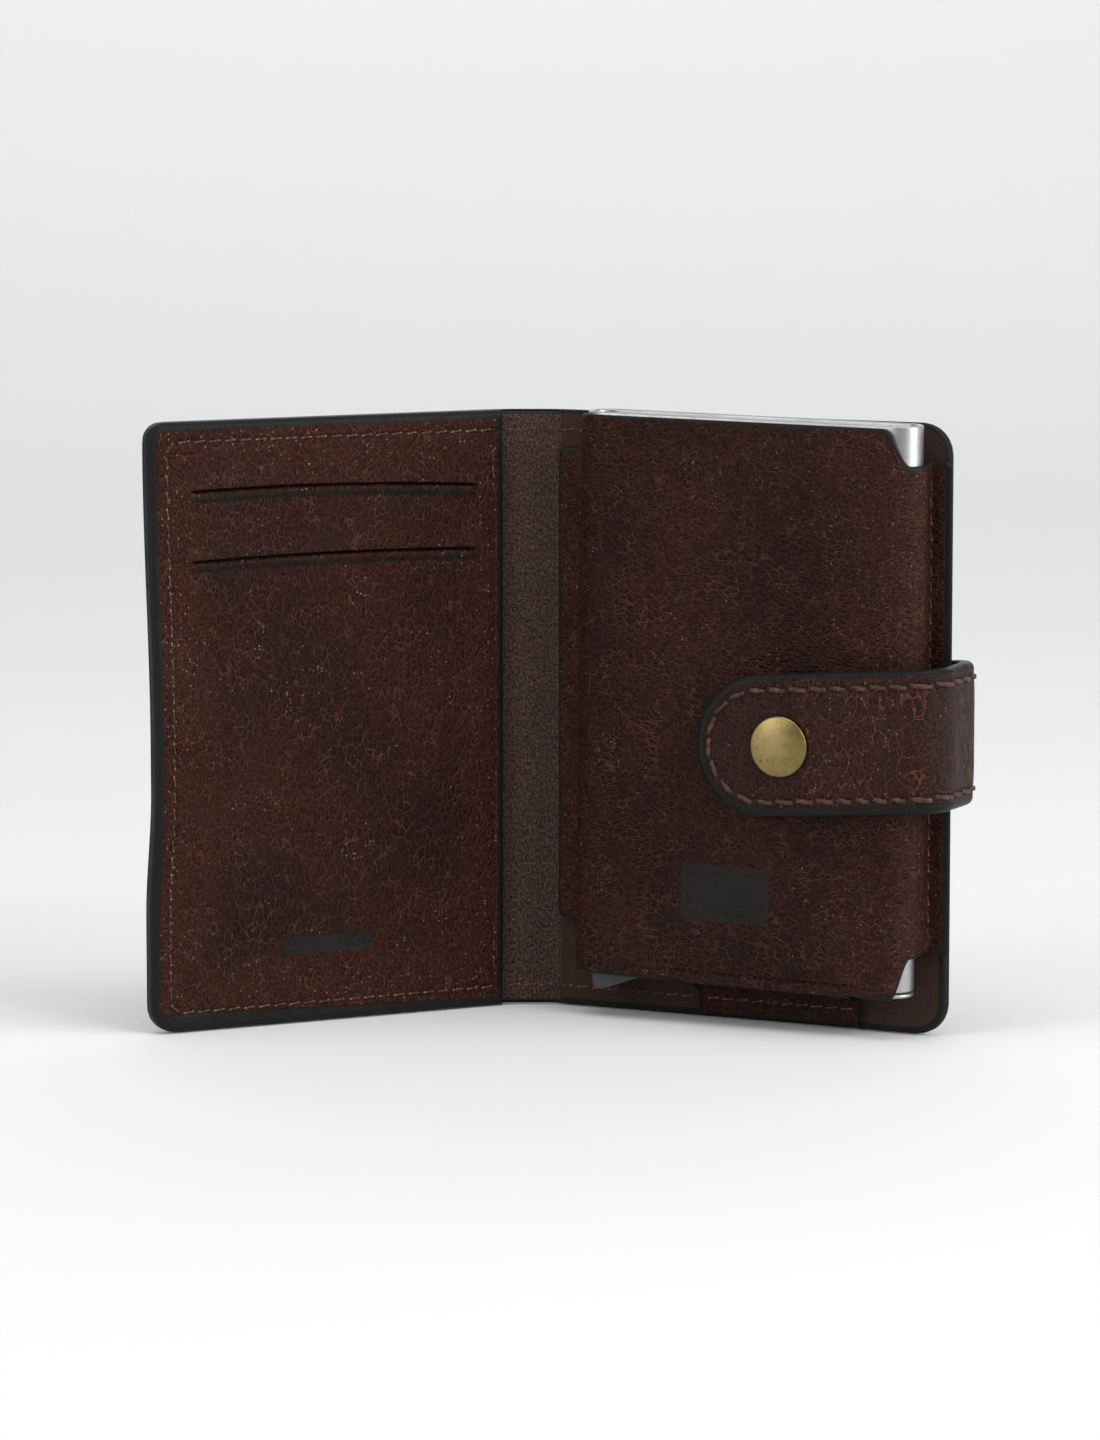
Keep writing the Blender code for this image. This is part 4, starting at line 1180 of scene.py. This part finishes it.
def wrap_grid():
    """The wrap's grid along its section and up it, with the distance to the nearest edge."""
    bottom_rows = 26
    extra = [FACE_START + (BOTTOM_WING[0] - FACE_LEFT) + d for d in np.arange(-2.0, 1.6, 0.25)]
    extra += [FACE_START + (BOTTOM_WING[1] - FACE_LEFT) + d for d in np.arange(-1.5, 2.1, 0.25)]
    extra += list(np.arange(0.0, FACE_START + 0.5, 0.45))
    extra += list(np.arange(FACE_END - 0.5, WRAP.length, 0.45))
    for side in (-1, 1):
        extra += [FACE_START + PATCH_AT[0] - FACE_LEFT + side * d for d in np.arange(6.2, 8.9, 0.2)]
    lines_p = spaced(0.0, WRAP.length, 1.4, EDGE_LINES, EDGE_LINES, extra)
    low = wrap_low(lines_p)
    base = wrap_low_edge(lines_p) + HEM
    high = wrap_high(lines_p)
    rows = []
    edges = []
    for k in range(bottom_rows):
        share = (k / bottom_rows) ** 1.5
        rows.append(low + (base - low) * share)
        edges.append(rows[-1] - low)
    span = high - HEM - base
    marks = spaced(0.0, 1.0, 0.014)[:-1].tolist()
    stretch = WRAP_TOP - WRAP_BOTTOM - 2.0 * HEM
    for side in (-1, 1):
        marks += [(PATCH_AT[1] + side * d - WRAP_BOTTOM - HEM) / stretch for d in np.arange(2.8, 5.5, 0.2)]
    for share in sorted(set(marks)):
        rows.append(base + span * share)
        edges.append(np.minimum(rows[-1] - low, high - rows[-1]))
    for inset in EDGE_LINES[::-1]:
        rows.append(high - inset)
        edges.append(np.full_like(high, inset))
    z = np.array(rows)
    p = np.broadcast_to(lines_p, z.shape).copy()
    edge = np.array(edges)
    slope_high = np.abs(np.gradient(high, lines_p))
    slope_low = np.abs(np.gradient(wrap_low_edge(lines_p), lines_p))
    steep = 1.0 / np.sqrt(1.0 + np.maximum(slope_high, slope_low) ** 2)
    edge = np.minimum(edge * steep, np.minimum(p, WRAP.length - p))
    face_s = FACE_LEFT + p - FACE_START
    wing_side = np.minimum(face_s - BOTTOM_WING[0], BOTTOM_WING[1] - face_s) + 0.2
    edge = np.where(z < WRAP_BOTTOM - 0.3, np.minimum(edge, np.maximum(wing_side, 0.0)), edge)
    return p, z, edge, face_s


def case_wrap():
    """The moulded wrap over the card case, with a blank pressed patch."""
    p, z, edge, face_s = wrap_grid()
    pressed = pressed_area(face_s, z, PATCH_AT, (8.4, 5.0), 1.4)
    border = pressed_area(face_s, z, PATCH_AT, (7.3, 3.9), 1.0)
    border = border - pressed_area(face_s, z, PATCH_AT, (6.6, 3.2), 0.8)
    puff = ramp(z, WRAP_BOTTOM, 40.0) * (1.0 - ramp(z, 70.0, WRAP_TOP))
    puff = puff * ramp(face_s, 10.0, 34.0) * (1.0 - ramp(face_s, 42.0, 66.0))
    front = 0.5 * WRAP_THICK + 0.12 * puff - 0.34 * pressed + 0.22 * border
    # The tone rises towards both sides where the wrap bends: a warmer, rubbed colour, and the painted glints gather
    # there.
    tone = np.maximum(ramp(face_s, 50.0, 64.0), 1.0 - ramp(face_s, 2.0, 12.0)) * 0.8
    right_side = ramp(p, WRAP.length - 3.0, WRAP.length - 1.5)
    paint = 0.5 - edge + 0.75 * right_side
    # The patch's raised border keeps part of the lighter leather colour: a painted highlight along it.
    tone = np.where(pressed > 0.35, -1.0 + 0.24 * border, tone)
    piece = sheet("case_wrap_leather", p, z, edge, front, -0.5 * WRAP_THICK, 0.42, 0.42, on_wrap,
                  MATERIALS["wrap"], paint, tone)
    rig.replaces(piece, "case_wrap")
    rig.slot(piece, "wrap_leather")
    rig.ride(piece, "case_leaf")


# ---------------------------------------------------------------- card case and ejector

def stadium(left, right, back, front, steps=28):
    """A closed outline with half-round ends, in (s, n)."""
    radius = 0.5 * (front - back)
    middle = 0.5 * (front + back)
    points = []
    for centre, start in ((right - radius, -90.0), (left + radius, 90.0)):
        for i in range(steps + 1):
            angle = math.radians(start + 180.0 * i / steps)
            points.append((centre + radius * math.cos(angle), middle + radius * math.sin(angle)))
    return np.array(points)


def case_ring(outline, z):
    return np.stack((outline[:, 0], outline[:, 1], np.full(len(outline), z)), -1)


def card_case():
    """The card case's tube with rounded rims, and the cap under it."""
    back = CASE_BACK
    front = CASE_BACK + CASE_THICK
    rim = 0.32
    quarter = [math.radians(a) for a in (0, 22.5, 45, 67.5, 90)]
    early = [rim * (1.0 - math.cos(angle)) for angle in quarter]
    late = [rim * (1.0 - math.sin(angle)) for angle in quarter]
    section = [(inset, CASE_BOTTOM + up) for inset, up in zip(late, early)]
    section += [(inset, CASE_TOP - down) for inset, down in zip(early, late)]
    section += [(CASE_WALL - inset, CASE_TOP - down) for inset, down in zip(late, early)]
    section += [(CASE_WALL - inset, CASE_BOTTOM + up) for inset, up in zip(early, late)]
    rings = []
    for inset, z in section:
        outline = stadium(CASE_LEFT + inset, CASE_RIGHT - inset, back + inset, front - inset)
        rings.append(case_ring(outline, z))
    piece = rings_mesh("card_case_tube", rings, MATERIALS["case"], loop=True, place=on_leaning_case)
    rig.replaces(piece, "case_body")
    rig.slot(piece, "case_metal")
    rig.ride(piece, "case_leaf")
    rings = []
    for inset, z in ((0.15, 7.6), (0.0, 7.75), (0.0, 8.1), (0.15, 8.25)):
        outline = stadium(CAP_LEFT - CASE_THICK, CASE_RIGHT - inset, back + inset, front - inset)
        outline[:, 0] = np.maximum(outline[:, 0], CAP_LEFT + inset)
        rings.append(case_ring(outline, z))
    cap = rings_mesh("case_bottom_cap_fine", rings, MATERIALS["case"], place=on_leaning_case)
    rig.replaces(cap, "case_bottom_cap")
    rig.slot(cap, "case_metal")
    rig.ride(cap, "case_leaf")


def kept_nodes():
    """CAD pieces whose shape is right: a small bevel and a finished material."""
    looks = {"grip_pad_front": ("felt", 0.08), "grip_pad_back": ("felt", 0.08), "lever_pin": ("steel", 0.1),
             "ejector_lever": ("plastic", 0.3), "card_lifter": ("plastic", 0.08)}
    for name, (look, width) in looks.items():
        node = frame["nodes"][name]
        node.data.materials.clear()
        node.data.materials.append(MATERIALS[look])
        bevel = node.modifiers.new("edges", "BEVEL")
        bevel.width = width * MM
        bevel.segments = 2
        bevel.limit_method = "ANGLE"
        bevel.angle_limit = math.radians(40.0)


# ---------------------------------------------------------------- strap and snap

def strap_grid(start, end, side, radius):
    """A strap half's grid, with round corners and finer lines on its free side."""
    half = 0.5 * STRAP_WIDTH
    seam = [STRAP_SEAM + d for d in (-0.8, -0.4, 0.0, 0.4, 0.8)]
    fine_low = EDGE_LINES if side == "left" else ()
    fine_high = EDGE_LINES if side == "right" else ()
    lines_p = spaced(start, end, 0.7, fine_low, fine_high)
    extra = [toward * (half - d) for toward in (-1.0, 1.0) for d in seam]
    lines_u = spaced(-half, half, 0.8, EDGE_LINES, EDGE_LINES, extra)
    p, up = np.meshgrid(lines_p, lines_u)
    return round_corners(p, up, start, end, -half, half, radius, (side,))


def strap_sheet(name, start, end, side, radius):
    """Half of the strap, with its sewn groove, its painted edges and its cracked middle."""
    p, up, edge = strap_grid(start, end, side, radius)
    half = 0.5 * STRAP_THICK
    front = half - 0.16 * ridge(edge, STRAP_SEAM, 0.9) + 0.16 * ramp(edge, 1.0, 6.0)
    tip = ramp(p, STRAP.length - 14.0, STRAP.length - 5.0)
    band = 0.85 + 0.95 * np.maximum(1.0 - ramp(up, -8.0, 6.0), tip)
    # The cracked middle is the strap's tone: it spreads the cracks and also gathers the painted glints there.
    cracked = ramp(p, STRAP_HALF + 6.0, STRAP_HALF + 12.0)
    cracked = cracked * (1.0 - ramp(p, STRAP.length - 23.0, STRAP.length - 17.0))
    return sheet(name, p, up, edge, front, -half, 1.25, 0.55, on_strap, MATERIALS["strap"], band - edge,
                 cracked)


def strap_ends(first, second):
    """Two points of the strap's middle line, as plain tuples."""
    return [tuple(float(v) for v in on_strap(np.array(p), np.array(0.0), np.array(0.0)))
            for p in (first, second)]


def strap():
    """The strap in two pieces that meet in the middle of the case's side, each with its sewing."""
    run = [length for length, turn in STRAP_RUNS]
    back_start = run[0]
    back_end = run[0] + run[1]
    front_start = run[0] + run[1] + run[2]
    front_end = front_start + run[3]
    base = strap_sheet("strap_back_half", 0.0, STRAP_HALF, "left", 4.0)
    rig.replaces(base, "strap_base_outer", "strap_base_inner", "strap_bridge_outer", "strap_bridge_inner")
    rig.slot(base, "strap_leather")
    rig.blend(base, "case_leaf", "strap_bridge", *strap_ends(back_start, back_end))
    tip_radius = 0.5 * STRAP_WIDTH - 0.02
    tongue = strap_sheet("strap_front_half", STRAP_HALF, STRAP.length, "right", tip_radius)
    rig.replaces(tongue, "strap_tongue_outer", "strap_tongue_inner", "strap_bridge_outer",
                "strap_bridge_inner")
    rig.slot(tongue, "strap_leather")
    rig.blend(tongue, "strap_bridge", "strap_tongue", *strap_ends(front_start, front_end))

    side = 0.5 * STRAP_WIDTH - STRAP_SEAM
    tip = STRAP.length - 0.5 * STRAP_WIDTH
    level = 0.5 * STRAP_THICK - 0.05
    route = [(STRAP_HALF, side), (tip, side)]
    for i in range(1, 24):
        angle = math.pi * (0.5 - i / 24.0)
        route.append((tip + side * math.cos(angle), side * math.sin(angle)))
    route += [(tip, -side), (STRAP_HALF, -side)]
    front = stitches("strap_front_stitches", route, level, on_strap, **STRAP_THREAD)
    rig.slot(front, "strap_leather")
    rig.blend(front, "strap_bridge", "strap_tongue", *strap_ends(front_start, front_end))
    corners = [(STRAP_HALF, -side), (STRAP_SEAM, -side), (STRAP_SEAM, side), (STRAP_HALF, side)]
    back = stitches("strap_back_stitches", rounded_route(corners, 2.5), level, on_strap, **STRAP_THREAD)
    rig.slot(back, "strap_leather")
    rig.blend(back, "case_leaf", "strap_bridge", *strap_ends(back_start, back_end))


def on_tongue(s, n, z):
    """A point of the tongue's rigid frame: s from its bend, n off its middle."""
    return strap_frame(s, -n, z) * MM + STRAP_FRONT_AT


def snap():
    """The snap's domed cap with a rolled rim; its hidden pieces keep their CAD shape."""
    top = 0.5 * STRAP_THICK + 0.1
    dome = 4.75
    rise = 1.42
    roll = 0.52
    profile = [(0.02, top + rise)]
    for i in range(1, 9):
        radius = dome * i / 8.0
        profile.append((radius, top + rise - 0.42 * (radius / dome) ** 2.4))
    for angle in range(0, 181, 15):
        turn = math.radians(90.0 - angle)
        profile.append((dome + roll * math.cos(turn), top + 0.48 + roll * math.sin(turn)))
    profile += [(4.2, top - 0.06), (1.5, top - 0.1), (1.5, -1.05), (0.02, -1.05)]
    cap = turned("snap_cap_brass", profile, (-SNAP_FROM_CORNER, 0.0), on_tongue, MATERIALS["brass"])
    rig.replaces(cap, "snap_cap")
    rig.slot(cap, "snap_brass")
    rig.ride(cap, "strap_tongue")
    for name in ("snap_socket", "snap_stud", "snap_post"):
        node = frame["nodes"][name]
        node.data.materials.clear()
        node.data.materials.append(MATERIALS["brass"])


# ---------------------------------------------------------------- seams of the leaves

def leaf_seams():
    """Every row of stitches on the leaves and the spine."""
    left = COVER_EDGE + SEAM_INSET
    right = CASE_LEAF_WIDTH - SEAM_INSET
    low = SEAM_INSET
    high = HEIGHT - SEAM_INSET
    panel = PANEL_FRONT - 0.12
    spine = -0.24
    lining = LINING_FRONT - 0.1
    flange = FLANGE_MIDDLE + 0.5 * WRAP_THICK - 0.02
    back = OUTER_BACK - 0.02
    wing_left, wing_right = BOTTOM_WING
    inner = PANEL_RIGHT_SEAM
    cover = rounded_route([(inner, high), (left, high), (left, low), (inner, low)], 3.0)
    inner = -SPINE_WIDTH - 3.0
    cover_back = rounded_route([(inner, high), (left, high), (left, low), (inner, low)], 3.0)
    case_back = rounded_route([(3.0, low), (right, low), (right, high), (3.0, high)], 3.0)
    rows = (
        ("cover_leaf_stitches", cover, panel, on_wallet, "panel_leather", "cover_leaf"),
        ("panel_side_stitches", [(PANEL_RIGHT_SEAM, high - 3.0), (PANEL_RIGHT_SEAM, low + 3.0)], panel,
         on_wallet, "panel_leather", "cover_leaf"),
        ("spine_stitches_top", [(-SPINE_WIDTH + 0.6, high), (-0.4, high)], spine, on_wallet, "suede",
         "spine"),
        ("spine_stitches_bottom", [(-SPINE_WIDTH + 0.6, low), (-0.4, low)], spine, on_wallet, "suede",
         "spine"),
        ("case_leaf_stitches_bottom", [(0.8, low), (wing_left - 1.5, low)], lining, on_case, "twill",
         "case_leaf"),
        ("case_leaf_stitches_top", [(0.8, high), (CASE_LEFT - 0.5, high)], lining, on_case, "twill",
         "case_leaf"),
        ("wing_stitches_right", [(right + 0.5, 96.0), (right + 0.5, 16.5)], flange, on_case, "wrap_leather",
         "case_leaf"),
        ("wing_stitches_bottom", [(wing_left + 1.0, 3.6), (wing_right - 1.0, 3.6)], flange, on_case,
         "wrap_leather", "case_leaf"),
        ("back_stitches_left", cover_back, back, on_wallet, "outer_leather", "cover_leaf"),
        ("back_stitches_right", case_back, back, on_wallet, "outer_leather", "case_leaf"),
    )
    for name, route, level, place, slot, body in rows:
        piece = stitches(name, route, level, place)
        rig.slot(piece, slot)
        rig.ride(piece, body)


# ---------------------------------------------------------------- camera, floor and light

def turned_by(angle, x, y):
    """A plan point turned about the origin."""
    return x * math.cos(angle) - y * math.sin(angle), x * math.sin(angle) + y * math.cos(angle)


def camera():
    """The photograph's camera."""
    x, y = turned_by(CASE_FOLD, CAMERA_ACROSS - 0.5 * SPINE_WIDTH, -CAMERA_AWAY)
    data = bpy.data.cameras.new("camera")
    data.lens = CAMERA_LENS
    data.sensor_width = 36.0
    data.clip_start = 0.05
    data.clip_end = 50.0
    obj = link("camera", data)
    obj.location = Vector(row(np.array(x), np.array(y), np.array(CAMERA_UP)))
    obj.rotation_euler = (0.5 * math.pi - CAMERA_PITCH, 0.0, CASE_FOLD + CAMERA_TURN)
    bpy.context.scene.camera = obj


def backdrop():
    """A pale floor that curves up behind the wallet."""
    profile = [(-4.0, 0.0), (1.2, 0.0)]
    for i in range(1, 25):
        angle = 0.5 * math.pi * i / 24.0
        profile.append((1.2 + 1.6 * math.sin(angle), 1.6 * (1.0 - math.cos(angle))))
    profile.append((2.8, 5.0))
    points = []
    for across in (-5.0, 5.0):
        for away, up in profile:
            x, y = turned_by(CASE_FOLD, across, away)
            points.append((x, y, up - 0.0002))
    count = len(profile)
    faces = [(i, i + 1, count + i + 1, count + i) for i in range(count - 1)]
    shader = Shader("floor")
    where = shader.local()
    tone = shader.range(shader.noise(where, 1.2, 2.0), 0.3, 0.7)
    shader.set(Base_Color=shader.mix(tone, (0.755, 0.757, 0.762), (0.765, 0.767, 0.772)), Roughness=0.9,
               Specular_IOR_Level=0.1)
    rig.stage(make_object("floor", points, faces, shader.material))


def area_light(name, across, away, up, aim, size, power):
    """A soft light at (across, away, up) metres from the wallet, turned to its aim."""
    data = bpy.data.lights.new(name, "AREA")
    data.shape = "RECTANGLE"
    data.size = size[0]
    data.size_y = size[1]
    data.energy = power
    obj = link(name, data)
    x, y = turned_by(CASE_FOLD, across, away)
    obj.location = (x, y, up)
    target = Vector((*turned_by(CASE_FOLD, aim[0], aim[1]), aim[2]))
    obj.rotation_euler = (target - obj.location).to_track_quat("-Z", "Y").to_euler()


def lights():
    """A weak even sky and five soft lights."""
    world = bpy.data.worlds.new("studio")
    world.use_nodes = True
    sky = world.node_tree.nodes["Background"]
    sky.inputs["Color"].default_value = (0.96, 0.98, 1.0, 1.0)
    sky.inputs["Strength"].default_value = 0.41
    bpy.context.scene.world = world
    bpy.context.scene.view_settings.view_transform = "Standard"
    area_light("top", 0.0, -0.35, 1.5, (0.0, -0.2, 0.0), (1.5, 1.0), 11.2)
    area_light("far", 0.0, 2.45, 1.5, (0.0, 2.6, 0.0), (3.6, 1.4), 33.0)
    area_light("left", -1.1, -0.75, 0.55, (0.0, 0.0, 0.05), (0.45, 0.9), 6.5)
    area_light("right", 1.15, -0.45, 0.45, (0.0, 0.0, 0.05), (0.8, 0.8), 12.0)
    area_light("spark", 0.75, -0.95, 0.95, (0.0, 0.0, 0.05), (0.22, 0.3), 2.5)


camera()
backdrop()
lights()
outer_leather()
spine_strip()
case_lining()
cover_panel()
case_wrap()
card_case()
kept_nodes()
strap()
snap()
leaf_seams()

low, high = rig.bounds()
with open("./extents.json", "w") as out:
    json.dump({"cad": [list(CAD_BOX[0]), list(CAD_BOX[1])], "visual": [list(low), list(high)]}, out)
